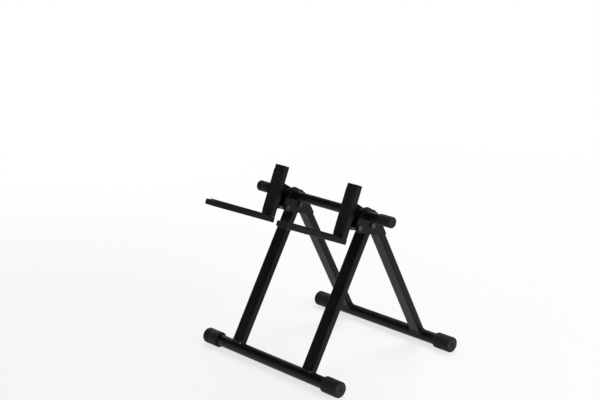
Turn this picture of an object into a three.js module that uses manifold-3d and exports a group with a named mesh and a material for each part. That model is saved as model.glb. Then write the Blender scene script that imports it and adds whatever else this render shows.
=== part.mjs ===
// Folding stand: two welded frames hinged near the top, and a tilted cradle that folds up in front of them.
// Millimetres, +Z up, +Y to the back. The origin is on the floor, in the middle of the stand's outline.
import * as THREE from 'three';
import { mergeVertices } from 'three/addons/utils/BufferGeometryUtils.js';
import Module from 'manifold-3d';

const wasm = await Module();
wasm.setup();

// ---- driving dimensions -----------------------------------------------------------------------

const SEAT_GAP = 0.3;            // between two pieces that touch
const SIDE_PLAY = 0.5;           // between a swinging tube and the plate beside it

const FOOT_SPREAD = 429;         // front foot tube axis to rear foot tube axis, measured on the floor
const FOOT_TUBE_DIAMETER = 32;
const FOOT_TUBE_WALL = 1.8;
const FOOT_WIDTH = 526;          // over the ends of the rubber caps
const FOOT_CAP_DIAMETER = 43;
const FOOT_CAP_LENGTH = 56;
const FOOT_CAP_END = 7;          // rubber beyond the end of the tube
const FOOT_CAP_FILLET = 3;

const CAP_DIMPLE_SHARE = 0.26;   // radius of the round dimple in a cap's end, as a share of the cap's
const CAP_DIMPLE_DEPTH = 1;
const CAP_LIP_SHARE = 0.85;      // rounding of a cap's open end, as a share of its wall

const LEG_WIDTH = 38;            // across the stand
const LEG_DEPTH = 20;
const LEG_WALL = 1.6;
const TUBE_CORNER = 3;           // outer corner radius of every rectangular tube
const LEG_SPACING = 278;         // centre to centre
const FRONT_LEAN = 30.7;         // degrees from upright, leaning back
const REAR_LEAN = 27;            // degrees from upright, leaning forward
const REAR_LEG_PAST_APEX = 7;    // rear leg above the point where the leg lines meet
const FOLDED_LEG_GAP = 2.5;      // between front and rear legs when they lie side by side
const FOLDED_CAP_GAP = 1.5;      // between the foot caps at the end of the fold

const CHEEK_THICKNESS = 3;
const CHEEK_MARGIN = 9;          // plate round a bolt hole
const CHEEK_BUSH_MARGIN = 7;     // plate round a bush
const CHEEK_CORNER = 5;
const CHEEK_WELD_LENGTH = 78;    // along the rear leg, down from its top end

const BOLT_DIAMETER = 8;
const BOLT_HOLE_PLAY = 0.4;      // between a bolt and its hole, all round
const HEX_ACROSS_FLATS = 13;
const BOLT_HEAD_HEIGHT = 5.3;
const NUT_HEIGHT = 6.5;
const BOLT_PAST_NUT = 2;
const BOLT_CHAMFER = 1;
const NOSE_REACH = 20.5;         // hinge bolt axis to the trimmed corner of the front leg's top end
const SLEEVE_DIAMETER = 12;      // steel sleeve across the front leg, round the hinge bolt
const STOP_SPACER_DIAMETER = 14; // spacer that the cradle ear rests against

const CRADLE_AHEAD_OF_APEX = 35.4;  // apex: the point where the leg lines meet
const CRADLE_ABOVE_APEX = 9.2;
const CRADLE_TILT = 23.4;        // degrees, support rails falling to the back
const CRADLE_FOLD = 39.6;        // degrees from the working tilt until the rails lie along the legs
const CRADLE_TUBE_DIAMETER = 25.4;
const CRADLE_TUBE_WALL = 1.6;
const CRADLE_WIDTH = 510;        // over the ends of its rubber caps
const CRADLE_CAP_DIAMETER = 30;
const CRADLE_CAP_LENGTH = 44;
const CRADLE_CAP_END = 5;
const CRADLE_CAP_FILLET = 2.5;
const BUSH_WALL = 1.6;
const BUSH_PROUD = 1;            // bush beyond the outer face of its plate

const RAIL_LENGTH = 225;         // over its two end plugs
const RAIL_DEPTH = 15;
const RAIL_WALL = 1.5;
const RAIL_BELOW_AXIS = 74;      // cradle tube axis to the top face of the rail, square to the rail
const POST_LENGTH = 138;
const POST_AHEAD = 40;           // cradle tube axis to the back face of the post
const PLUG_FLANGE = 3.5;
const PLUG_STEM = 14;
const PLUG_PLAY = 0.35;
const PAD_THICKNESS = 2.5;
const PAD_WIDTH = 32;
const RAIL_PAD_INSET = 12;       // from the rail's front end and from the post
const POST_PAD_INSET = 10;

const EAR_THICKNESS = 6;
const EAR_MARGIN = 4.5;          // plate round the cradle tube
const EAR_WELD_TOP = 22;         // top of the ear on the post's back face, above the cradle tube's axis
const EAR_WELD_HEIGHT = 53;      // along the back face of the post
const EAR_CORNER = 3;
const EAR_LOBE = 6;              // radius of the ear's lower end, beside the stop spacer
const STOP_RADIUS = 39;          // cradle tube axis to stop bolt axis
const STOP_BEARING = 227;        // degrees round the cradle tube axis, from +Y towards +Z

// ---- places worked out from them --------------------------------------------------------------

const rad = THREE.MathUtils.degToRad;
const tan = (degrees) => Math.tan(rad(degrees));

const FOOT_AXIS_Z = FOOT_CAP_DIAMETER / 2;
const APEX_RISE = FOOT_SPREAD / (tan(FRONT_LEAN) + tan(REAR_LEAN));
const OPEN_ANGLE = FRONT_LEAN + REAR_LEAN;
const REAR_APEX = APEX_RISE / Math.cos(rad(REAR_LEAN));
const FRONT_APEX = APEX_RISE / Math.cos(rad(FRONT_LEAN));
const REAR_LEG_TOP = REAR_APEX + REAR_LEG_PAST_APEX;

const CRADLE_AXIS_Y = FOOT_SPREAD / 2 - APEX_RISE * tan(REAR_LEAN) - CRADLE_AHEAD_OF_APEX;
const CRADLE_AXIS_Z = FOOT_AXIS_Z + APEX_RISE + CRADLE_ABOVE_APEX;

// The hinge bolt is on the front leg's centre line, ahead of the rear leg.
const HINGE_AHEAD = LEG_DEPTH + FOLDED_LEG_GAP;
const HINGE_BELOW_APEX = HINGE_AHEAD / Math.sin(rad(OPEN_ANGLE));
const HINGE_UP_FRONT_LEG = FRONT_APEX - HINGE_BELOW_APEX;
const FOLDED_ANGLE = THREE.MathUtils.radToDeg(
  Math.asin((FOOT_CAP_DIAMETER + FOLDED_CAP_GAP - HINGE_AHEAD) / HINGE_UP_FRONT_LEG));
const FOLD_TRAVEL = OPEN_ANGLE - FOLDED_ANGLE;

const CHEEK_OFFSET = LEG_WIDTH / 2 + SIDE_PLAY + CHEEK_THICKNESS / 2;
const CHEEK_OUTER = CHEEK_OFFSET + CHEEK_THICKNESS / 2;

// A sub-assembly's own axes. A frame's z runs up its legs from the foot tube's axis, and the cradle's z
// runs up its posts from the cradle tube's axis. y and z are measured from midway between the feet.
class Axes {
  constructor(y, z, turn) {
    this.y = y;
    this.z = z;
    this.turn = turn;
  }

  local([y, z]) {
    const c = Math.cos(this.turn), s = Math.sin(this.turn);
    return [c * (y - this.y) + s * (z - this.z), -s * (y - this.y) + c * (z - this.z)];
  }

  world([y, z]) {
    const c = Math.cos(this.turn), s = Math.sin(this.turn);
    return [this.y + c * y - s * z, this.z + s * y + c * z];
  }

  group() {
    const group = new THREE.Group();
    group.position.set(0, this.y, this.z);
    group.rotation.x = this.turn;
    return group;
  }
}

const rearAxes = new Axes(FOOT_SPREAD / 2, FOOT_AXIS_Z, rad(REAR_LEAN));
const frontAxes = new Axes(-FOOT_SPREAD / 2, FOOT_AXIS_Z, -rad(FRONT_LEAN));
const cradleAxes = new Axes(CRADLE_AXIS_Y, CRADLE_AXIS_Z, -rad(CRADLE_TILT));

const HINGE = frontAxes.world([0, HINGE_UP_FRONT_LEG]);
const CRADLE_AXIS = [CRADLE_AXIS_Y, CRADLE_AXIS_Z];
const STOP = [
  CRADLE_AXIS_Y + STOP_RADIUS * Math.cos(rad(STOP_BEARING)),
  CRADLE_AXIS_Z + STOP_RADIUS * Math.sin(rad(STOP_BEARING)),
];

// ---- finishes -----------------------------------------------------------------------------------

const finish = (color, roughness, metalness = 0) =>
  new THREE.MeshStandardMaterial({ color, roughness, metalness });
const blackPaint = finish(0x17161a, 0.42, 0.1);
const blackRubber = finish(0x242323, 0.85);
const blackPlastic = finish(0x1c1b1c, 0.6);
const blackenedSteel = finish(0x2b2a2b, 0.4, 0.8);
const blackNylon = finish(0x1f1e1e, 0.5);

// ---- joining and cutting ------------------------------------------------------------------------

const WELD_DISTANCE = 1e-4;      // vertices nearer than this are one

function toSolid(geometry) {
  const bare = geometry.index ? geometry.clone() : geometry;
  bare.deleteAttribute('normal');
  bare.deleteAttribute('uv');
  const merged = mergeVertices(bare, WELD_DISTANCE);
  const mesh = new wasm.Mesh({
    numProp: 3,
    vertProperties: new Float32Array(merged.attributes.position.array),
    triVerts: new Uint32Array(merged.index.array),
  });
  return new wasm.Manifold(mesh);
}

function toGeometry(solid) {
  const { vertProperties, triVerts } = solid.getMesh();
  const geometry = new THREE.BufferGeometry();
  geometry.setAttribute('position', new THREE.BufferAttribute(Float32Array.from(vertProperties), 3));
  geometry.setIndex(new THREE.BufferAttribute(Uint32Array.from(triVerts), 1));
  geometry.computeVertexNormals();
  return geometry;
}

function cut(geometry, ...cutters) {
  return toGeometry(cutters.reduce((solid, cutter) => solid.subtract(toSolid(cutter)), toSolid(geometry)));
}

// ---- basic shapes -------------------------------------------------------------------------------

const ROUND_STEPS = 32;          // round a tube or a cap
const SMALL_STEPS = 20;          // round a bolt, a sleeve or a bolt hole
const CORNER_STEPS = 2;          // round the corner of a rectangular tube
const LEAST_CORNER = 0.6;        // inner corner radius where the wall takes up the outer one

// Turns a profile of [distance along x, radius] points about the x axis.
function turned(profile, segments = ROUND_STEPS) {
  const points = profile.map(([x, radius]) => new THREE.Vector2(radius, -x));
  return new THREE.LatheGeometry(points, segments).rotateZ(Math.PI / 2);
}

const rodX = (diameter, from, to, segments = ROUND_STEPS) =>
  turned([[to, 0], [to, diameter / 2], [from, diameter / 2], [from, 0]], segments);

const pipeX = (outer, inner, length, segments = ROUND_STEPS) => {
  const [x, R, r] = [length / 2, outer / 2, inner / 2];
  return turned([[x, r], [x, R], [-x, R], [-x, r], [x, r]], segments);
};

function roundedRectangle(width, depth, radius) {
  const [x, y] = [width / 2, depth / 2];
  const path = new THREE.Path();
  path.moveTo(x, -y + radius);
  path.lineTo(x, y - radius);
  path.absarc(x - radius, y - radius, radius, 0, Math.PI / 2);
  path.lineTo(-x + radius, y);
  path.absarc(-x + radius, y - radius, radius, Math.PI / 2, Math.PI);
  path.lineTo(-x, -y + radius);
  path.absarc(-x + radius, -y + radius, radius, Math.PI, 1.5 * Math.PI);
  path.lineTo(x - radius, -y);
  path.absarc(x - radius, -y + radius, radius, 1.5 * Math.PI, 2 * Math.PI);
  return path;
}

// A rectangular bar or tube along z, from z = 0.
function barZ(width, depth, corner, length, wall = 0) {
  const shape = new THREE.Shape(roundedRectangle(width, depth, corner).getPoints(CORNER_STEPS));
  if (wall) {
    const inner = Math.max(corner - wall, LEAST_CORNER);
    const bore = roundedRectangle(width - 2 * wall, depth - 2 * wall, inner);
    shape.holes.push(new THREE.Path(bore.getPoints(CORNER_STEPS)));
  }
  return new THREE.ExtrudeGeometry(shape, { depth: length, bevelEnabled: false });
}

// The same along y, from y = 0: width stays across, depth stands up.
const barY = (width, depth, corner, length, wall = 0) =>
  barZ(width, depth, corner, length, wall).rotateX(-Math.PI / 2);

// Convex outline round circles given as [y, z, radius], counter-clockwise.
function outlineRound(circles, steps = 24) {
  const points = circles.flatMap(([y, z, radius]) => Array.from({ length: steps }, (_, i) => {
    const angle = (2 * Math.PI * i) / steps;
    return [y + radius * Math.cos(angle), z + radius * Math.sin(angle)];
  })).sort((a, b) => a[0] - b[0] || a[1] - b[1]);
  const turn = (o, a, b) => (a[0] - o[0]) * (b[1] - o[1]) - (a[1] - o[1]) * (b[0] - o[0]);
  const half = (list) => {
    const chain = [];
    for (const point of list) {
      while (chain.length > 1 && turn(chain.at(-2), chain.at(-1), point) <= 1e-6) chain.pop();
      chain.push(point);
    }
    return chain.slice(0, -1);
  };
  return [...half(points), ...half(points.reverse())];
}

// A plate in the y-z plane, centred on x = 0, with round holes given as [y, z, diameter].
function plate(outline, thickness, holes) {
  const shape = new THREE.Shape(outline.map(([y, z]) => new THREE.Vector2(y, z)));
  for (const [y, z, diameter] of holes) {
    const hole = new THREE.Path().absarc(y, z, diameter / 2, 0, 2 * Math.PI, true);
    shape.holes.push(new THREE.Path(hole.getPoints(SMALL_STEPS / 2).slice(0, -1)));
  }
  const flat = new THREE.ExtrudeGeometry(shape, { depth: thickness, bevelEnabled: false });
  return flat.translate(0, 0, -thickness / 2).rotateX(Math.PI / 2).rotateZ(Math.PI / 2);
}

function hexagonX(acrossFlats, from, to) {
  const radius = acrossFlats / Math.sqrt(3);
  return turned([[to, 0], [to, radius], [from, radius], [from, 0]], 6);
}

// A rubber cup pushed over the end of a tube. Its open end looks to -x and its closed end is at x = 0.
function endCap(diameter, length, end, fillet, tubeDiameter) {
  const R = diameter / 2;
  const bore = tubeDiameter / 2 + SEAT_GAP;
  const dimple = R * CAP_DIMPLE_SHARE;
  const lip = (R - bore) * CAP_LIP_SHARE;
  const arc = (x, size, from, to, steps = 2) => Array.from({ length: steps + 1 }, (_, i) => {
    const angle = rad(from + ((to - from) * i) / steps);
    return [x + size * Math.cos(angle), R - size + size * Math.sin(angle)];
  });
  const profile = [
    [-CAP_DIMPLE_DEPTH, 0], [-CAP_DIMPLE_DEPTH, dimple - CAP_DIMPLE_DEPTH], [0, dimple],
    ...arc(-fillet, fillet, 0, 90),
    ...arc(-length + lip, lip, 90, 180),
    [-length, bore], [-end, bore], [-end, 0],
  ];
  return turned(profile);
}

// A moulded plug for the end of a rectangular tube: flange from z = 0 up, stem below.
function tubePlug(width, depth, wall, corner) {
  const narrower = 2 * (wall + PLUG_PLAY);
  const inner = Math.max(corner - wall, LEAST_CORNER);
  const flange = toSolid(barZ(width, depth, corner, PLUG_FLANGE));
  const stem = toSolid(barZ(width - narrower, depth - narrower, inner, PLUG_STEM + 1)
    .translate(0, 0, -PLUG_STEM));
  return toGeometry(flange.add(stem));
}

// ---- assembly -----------------------------------------------------------------------------------

const stand = new THREE.Group();
const rearFrame = rearAxes.group();
const frontFrame = frontAxes.group();
const cradle = cradleAxes.group();
const betweenFeet = new THREE.Group();
betweenFeet.add(rearFrame, frontFrame, cradle);
stand.add(betweenFeet);

// The outline runs from the rails' front ends to the back of the rear foot caps.
const railTip = cradleAxes.world([-POST_AHEAD - RAIL_LENGTH, -RAIL_BELOW_AXIS - RAIL_DEPTH])[0];
const capBack = (FOOT_SPREAD + FOOT_CAP_DIAMETER) / 2;
betweenFeet.position.y = -(railTip + capBack) / 2;

const SIDES = [['left', -1], ['right', 1]];

function place(parent, name, geometry, material, [x, y, z] = [0, 0, 0], turnZ = 0) {
  const mesh = new THREE.Mesh(geometry, material);
  mesh.name = name;
  mesh.position.set(x, y, z);
  mesh.rotation.z = turnZ;
  parent.add(mesh);
  return mesh;
}

// A round tube across the stand with a rubber cap on each end.
function cappedTube(parent, prefix, { width, diameter, wall, capDiameter, capLength, capEnd, capFillet }) {
  const length = width - 2 * (capEnd + SEAT_GAP);
  place(parent, `${prefix}_tube`, pipeX(diameter, diameter - 2 * wall, length), blackPaint);
  const cap = endCap(capDiameter, capLength, capEnd, capFillet, diameter);
  // One vertex of the ring is straight down, so that the caps touch the floor.
  cap.rotateX(-parent.rotation.x);
  for (const [side, sign] of SIDES) {
    place(parent, `${prefix}_cap_${side}`, cap, blackRubber,
      [(sign * width) / 2, 0, 0], sign < 0 ? Math.PI : 0);
  }
}

const FOOT = {
  width: FOOT_WIDTH,
  diameter: FOOT_TUBE_DIAMETER,
  wall: FOOT_TUBE_WALL,
  capDiameter: FOOT_CAP_DIAMETER,
  capLength: FOOT_CAP_LENGTH,
  capEnd: FOOT_CAP_END,
  capFillet: FOOT_CAP_FILLET,
};

// A leg whose lower end is shaped to sit on the foot tube.
function legBlank(top) {
  const start = FOOT_TUBE_DIAMETER / 4;
  const tube = barZ(LEG_WIDTH, LEG_DEPTH, TUBE_CORNER, top - start, LEG_WALL).translate(0, 0, start);
  const saddle = rodX(FOOT_TUBE_DIAMETER + 2 * SEAT_GAP, -LEG_WIDTH, LEG_WIDTH);
  return cut(tube, saddle);
}

// The front leg's top end keeps clear of the rear leg all through the fold, and rests on it when open.
function frontLeg() {
  const reach = LEG_DEPTH * 4;
  const blocker = (distance, angle) => new THREE.BoxGeometry(LEG_WIDTH * 2, reach, reach * 2)
    .translate(0, distance + reach / 2, 0)
    .rotateX(angle)
    .translate(0, 0, HINGE_UP_FRONT_LEG);
  const rearFace = HINGE_AHEAD - LEG_DEPTH / 2 - SEAT_GAP;
  const steps = 16;
  const blockers = Array.from({ length: steps + 1 }, (_, i) =>
    blocker(rearFace, rad(OPEN_ANGLE - (FOLD_TRAVEL * i) / steps)));
  // The corner that would swing against the ears is trimmed off.
  const noseY = -LEG_DEPTH / 2;
  const noseZ = (rearFace - noseY * Math.cos(rad(OPEN_ANGLE))) / Math.sin(rad(OPEN_ANGLE));
  blockers.push(blocker(NOSE_REACH, Math.atan2(noseZ, noseY)));
  const sleeveHole = rodX(SLEEVE_DIAMETER + 2 * SEAT_GAP, -LEG_WIDTH, LEG_WIDTH, SMALL_STEPS)
    .translate(0, 0, HINGE_UP_FRONT_LEG);
  return cut(legBlank(FRONT_APEX + LEG_DEPTH), ...blockers, sleeveHole);
}

function bolt(head, grip) {
  const radius = BOLT_DIAMETER / 2;
  const top = head + BOLT_HEAD_HEIGHT;
  const point = head - grip;
  const inHead = top - BOLT_CHAMFER;
  const shank = turned([[inHead, 0], [inHead, radius], [point + BOLT_CHAMFER, radius],
    [point, radius - BOLT_CHAMFER], [point, 0]], SMALL_STEPS);
  return toGeometry(toSolid(shank).add(toSolid(hexagonX(HEX_ACROSS_FLATS, head, top))));
}

const nut = () => cut(hexagonX(HEX_ACROSS_FLATS, 0, NUT_HEIGHT),
  rodX(BOLT_DIAMETER + 2 * SEAT_GAP, -1, NUT_HEIGHT + 1, SMALL_STEPS));

function buildFeet() {
  cappedTube(rearFrame, 'rear_foot', FOOT);
  cappedTube(frontFrame, 'front_foot', FOOT);
}

function buildLegs() {
  const rear = legBlank(REAR_LEG_TOP);
  const front = frontLeg();
  const plug = tubePlug(LEG_WIDTH, LEG_DEPTH, LEG_WALL, TUBE_CORNER);
  const sleeve = pipeX(SLEEVE_DIAMETER, BOLT_DIAMETER + 2 * BOLT_HOLE_PLAY, LEG_WIDTH, SMALL_STEPS);
  for (const [side, sign] of SIDES) {
    const x = (sign * LEG_SPACING) / 2;
    place(rearFrame, `rear_leg_${side}`, rear, blackPaint, [x, 0, 0]);
    place(rearFrame, `rear_leg_plug_${side}`, plug, blackPlastic, [x, 0, REAR_LEG_TOP + SEAT_GAP]);
    place(frontFrame, `front_leg_${side}`, front, blackPaint, [x, 0, 0]);
    place(frontFrame, `hinge_sleeve_${side}`, sleeve, blackenedSteel, [x, 0, HINGE_UP_FRONT_LEG]);
  }
}

// Two plates on each rear leg carry the front leg's hinge bolt, the cradle tube and the cradle's stop.
function buildCheeks() {
  const [hingeY, hingeZ] = rearAxes.local(HINGE);
  const [axisY, axisZ] = rearAxes.local(CRADLE_AXIS);
  const [stopY, stopZ] = rearAxes.local(STOP);
  const bushHole = CRADLE_TUBE_DIAMETER + 2 * (BUSH_WALL + 2 * SEAT_GAP);
  const boltHole = BOLT_DIAMETER + 2 * BOLT_HOLE_PLAY;
  const weldY = LEG_DEPTH / 2 - CHEEK_CORNER;
  const outline = outlineRound([
    [axisY, axisZ, bushHole / 2 + CHEEK_BUSH_MARGIN],
    [hingeY, hingeZ, BOLT_DIAMETER / 2 + CHEEK_MARGIN],
    [stopY, stopZ, BOLT_DIAMETER / 2 + CHEEK_MARGIN],
    [weldY, REAR_LEG_TOP - CHEEK_CORNER, CHEEK_CORNER],
    [weldY, REAR_LEG_TOP - CHEEK_WELD_LENGTH + CHEEK_CORNER, CHEEK_CORNER],
  ]);
  const cheek = plate(outline, CHEEK_THICKNESS,
    [[axisY, axisZ, bushHole], [hingeY, hingeZ, boltHole], [stopY, stopZ, boltHole]]);
  const bushLength = CHEEK_THICKNESS + 2 * BUSH_PROUD;
  const bush = pipeX(CRADLE_TUBE_DIAMETER + 2 * (BUSH_WALL + SEAT_GAP),
    CRADLE_TUBE_DIAMETER + 2 * SEAT_GAP, bushLength, ROUND_STEPS);
  const spacer = pipeX(STOP_SPACER_DIAMETER, boltHole, LEG_WIDTH + 2 * (SIDE_PLAY - SEAT_GAP), SMALL_STEPS);
  const head = CHEEK_OUTER + SEAT_GAP;
  const grip = 2 * head + NUT_HEIGHT + BOLT_PAST_NUT;
  const nutShape = nut();
  for (const [side, sign] of SIDES) {
    const x = (sign * LEG_SPACING) / 2;
    for (const [edge, step] of [['outer', sign], ['inner', -sign]]) {
      place(rearFrame, `cheek_${side}_${edge}`, cheek, blackPaint, [x + step * CHEEK_OFFSET, 0, 0]);
      place(rearFrame, `cradle_bush_${side}_${edge}`, bush, blackNylon,
        [x + step * (CHEEK_OFFSET + BUSH_PROUD / 2), axisY, axisZ]);
    }
    for (const [role, y, z] of [['hinge', hingeY, hingeZ], ['stop', stopY, stopZ]]) {
      const turn = sign < 0 ? Math.PI : 0;
      place(rearFrame, `${role}_bolt_${side}`, bolt(head, grip), blackenedSteel, [x, y, z], turn);
      place(rearFrame, `${role}_nut_${side}`, nutShape, blackenedSteel,
        [x - sign * (head + (sign < 0 ? 0 : NUT_HEIGHT)), y, z]);
    }
    place(rearFrame, `stop_spacer_${side}`, spacer, blackenedSteel, [x, stopY, stopZ]);
  }
}

// Each ear joins a post to the cradle tube, and its lower edge comes down on the stop spacer.
function ear() {
  const [stopY, stopZ] = cradleAxes.local(STOP);
  const backFace = -POST_AHEAD + SEAT_GAP;
  const outline = outlineRound([
    [0, 0, CRADLE_TUBE_DIAMETER / 2 + EAR_MARGIN],
    [backFace + EAR_CORNER, EAR_WELD_TOP, EAR_CORNER],
    [backFace + EAR_CORNER, EAR_WELD_TOP - EAR_WELD_HEIGHT, EAR_CORNER],
    [stopY - STOP_SPACER_DIAMETER / 2 - EAR_LOBE, stopZ - 1, EAR_LOBE],
  ]);
  const blank = plate(outline, EAR_THICKNESS, [[0, 0, CRADLE_TUBE_DIAMETER + 2 * SEAT_GAP]]);
  // The notch follows the spacer's path as the cradle swings up and away from it.
  const steps = 12;
  const notch = Array.from({ length: steps + 1 }, (_, i) =>
    rodX(STOP_SPACER_DIAMETER + 2 * SEAT_GAP, -EAR_THICKNESS, EAR_THICKNESS, SMALL_STEPS)
      .translate(0, stopY, stopZ)
      .rotateX(rad((CRADLE_FOLD * i) / steps)));
  return cut(blank, ...notch);
}

function buildCradle() {
  cappedTube(cradle, 'cradle', {
    width: CRADLE_WIDTH,
    diameter: CRADLE_TUBE_DIAMETER,
    wall: CRADLE_TUBE_WALL,
    capDiameter: CRADLE_CAP_DIAMETER,
    capLength: CRADLE_CAP_LENGTH,
    capEnd: CRADLE_CAP_END,
    capFillet: CRADLE_CAP_FILLET,
  });
  const railEnd = -POST_AHEAD;
  const railStart = railEnd - RAIL_LENGTH;
  const tubeLength = RAIL_LENGTH - 2 * (PLUG_FLANGE + SEAT_GAP);
  const railZ = -RAIL_BELOW_AXIS - RAIL_DEPTH / 2;
  const postZ = -RAIL_BELOW_AXIS + SEAT_GAP;
  const postY = -POST_AHEAD - LEG_DEPTH / 2;
  const rail = barY(LEG_WIDTH, RAIL_DEPTH, TUBE_CORNER, tubeLength, RAIL_WALL);
  const post = barZ(LEG_WIDTH, LEG_DEPTH, TUBE_CORNER, POST_LENGTH, LEG_WALL);
  const railPlug = tubePlug(LEG_WIDTH, RAIL_DEPTH, RAIL_WALL, TUBE_CORNER);
  const postPlug = tubePlug(LEG_WIDTH, LEG_DEPTH, LEG_WALL, TUBE_CORNER);
  const railPadLength = RAIL_LENGTH - LEG_DEPTH - 2 * RAIL_PAD_INSET;
  const railPad = barY(PAD_WIDTH, PAD_THICKNESS, 1, railPadLength);
  const postPad = barZ(PAD_WIDTH, PAD_THICKNESS, 1, POST_LENGTH - 2 * POST_PAD_INSET);
  const earShape = ear();
  for (const [side, sign] of SIDES) {
    const x = (sign * LEG_SPACING) / 2;
    place(cradle, `rail_${side}`, rail, blackPaint, [x, railStart + PLUG_FLANGE + SEAT_GAP, railZ]);
    place(cradle, `post_${side}`, post, blackPaint, [x, postY, postZ]);
    place(cradle, `ear_${side}`, earShape, blackPaint, [x, 0, 0]);
    place(cradle, `rail_pad_${side}`, railPad, blackRubber,
      [x, railStart + RAIL_PAD_INSET, -RAIL_BELOW_AXIS + SEAT_GAP + PAD_THICKNESS / 2]);
    place(cradle, `post_pad_${side}`, postPad, blackRubber,
      [x, postY - LEG_DEPTH / 2 - SEAT_GAP - PAD_THICKNESS / 2, postZ + POST_PAD_INSET]);
    place(cradle, `post_plug_${side}`, postPlug, blackPlastic, [x, postY, postZ + POST_LENGTH + SEAT_GAP]);
    const ends = [['front', railStart + PLUG_FLANGE, 1], ['back', railEnd - PLUG_FLANGE, -1]];
    for (const [end, y, turn] of ends) {
      const plug = place(cradle, `rail_plug_${side}_${end}`, railPlug, blackPlastic, [x, y, railZ]);
      plug.rotation.x = (turn * Math.PI) / 2;
    }
  }
}

buildFeet();
buildLegs();
buildCheeks();
buildCradle();

export default stand;
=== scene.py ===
"""Looks of a folding tilt-back stand: powder-coated tube frames, rubber caps, welds and steel hardware."""

import logging
import math
import random
from collections.abc import Callable, Sequence
from dataclasses import dataclass, field
from enum import Enum

import bmesh
import bpy
from mathutils import Matrix, Vector

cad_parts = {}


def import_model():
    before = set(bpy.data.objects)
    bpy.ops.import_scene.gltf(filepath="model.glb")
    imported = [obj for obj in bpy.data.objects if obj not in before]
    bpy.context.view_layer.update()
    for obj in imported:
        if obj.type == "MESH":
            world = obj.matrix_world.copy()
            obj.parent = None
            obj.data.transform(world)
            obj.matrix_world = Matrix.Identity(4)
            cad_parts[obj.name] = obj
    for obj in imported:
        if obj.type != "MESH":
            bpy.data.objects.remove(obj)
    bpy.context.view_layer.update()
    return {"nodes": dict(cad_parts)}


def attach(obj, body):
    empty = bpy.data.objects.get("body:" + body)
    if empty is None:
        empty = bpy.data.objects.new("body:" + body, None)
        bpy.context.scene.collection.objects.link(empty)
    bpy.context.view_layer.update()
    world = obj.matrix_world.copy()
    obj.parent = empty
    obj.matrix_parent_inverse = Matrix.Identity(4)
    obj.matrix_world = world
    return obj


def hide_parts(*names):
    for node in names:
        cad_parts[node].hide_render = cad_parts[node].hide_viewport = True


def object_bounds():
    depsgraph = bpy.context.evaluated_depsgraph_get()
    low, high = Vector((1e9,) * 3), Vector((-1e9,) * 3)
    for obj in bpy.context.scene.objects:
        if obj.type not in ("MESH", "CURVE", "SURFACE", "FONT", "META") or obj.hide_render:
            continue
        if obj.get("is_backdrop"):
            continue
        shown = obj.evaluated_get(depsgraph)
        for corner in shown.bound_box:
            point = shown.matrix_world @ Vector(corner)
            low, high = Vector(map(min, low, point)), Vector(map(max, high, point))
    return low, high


log = logging.getLogger("stand")

MM = 0.001
GAP = 0.3 * MM  # between two pieces that touch
CREASE = 32.0  # degrees; edges that turn more than this are sharp
EASING = {False: "LINEAR", True: "SMOOTHSTEP"}

Colour = tuple[float, float, float]
Plane = tuple[float, float]  # y and z
EndShape = Callable[[float], float]  # z of a tube's end at a given y
Feed = float | Sequence[float] | bpy.types.NodeSocket  # what goes into a node's input


class Side(Enum):
    """A side of the stand, with its sign along X."""

    LEFT = -1
    RIGHT = 1

    @property
    def word(self) -> str:
        """The side's name as the nodes spell it."""
        return self.name.lower()


class Slot(Enum):
    """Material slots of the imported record."""

    COAT = "black_powder_coat"
    RUBBER = "black_rubber"
    PLASTIC = "black_plastic"
    STEEL = "blackened_steel"
    NYLON = "black_nylon"


# ---- sizes ---------------------------------------------------------------------------------------


@dataclass(frozen=True)
class Axes:
    """A sub-assembly's own axes: x across, and y and z turned about x."""

    y: float
    z: float
    turn: float  # radians about +X

    def local(self, point: Plane) -> Plane:
        """Brings a point of the stand's frame into these axes.

        Args:
            point: Its y and z in the stand's frame.

        Returns:
            Its y and z in these axes.
        """
        c, s = math.cos(self.turn), math.sin(self.turn)
        dy, dz = point[0] - self.y, point[1] - self.z
        return c * dy + s * dz, -s * dy + c * dz

    def world(self, point: Plane) -> Plane:
        """Brings a point of these axes into the stand's frame."""
        c, s = math.cos(self.turn), math.sin(self.turn)
        return self.y + c * point[0] - s * point[1], self.z + s * point[0] + c * point[1]

    def matrix(self, x: float = 0.0, y: float = 0.0, z: float = 0.0) -> Matrix:
        """The transform that puts a piece made at the origin at (x, y, z) of these axes."""
        turned = Matrix.Translation((0, self.y, self.z)) @ Matrix.Rotation(self.turn, 4, "X")
        return turned @ Matrix.Translation((x, y, z))


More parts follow.
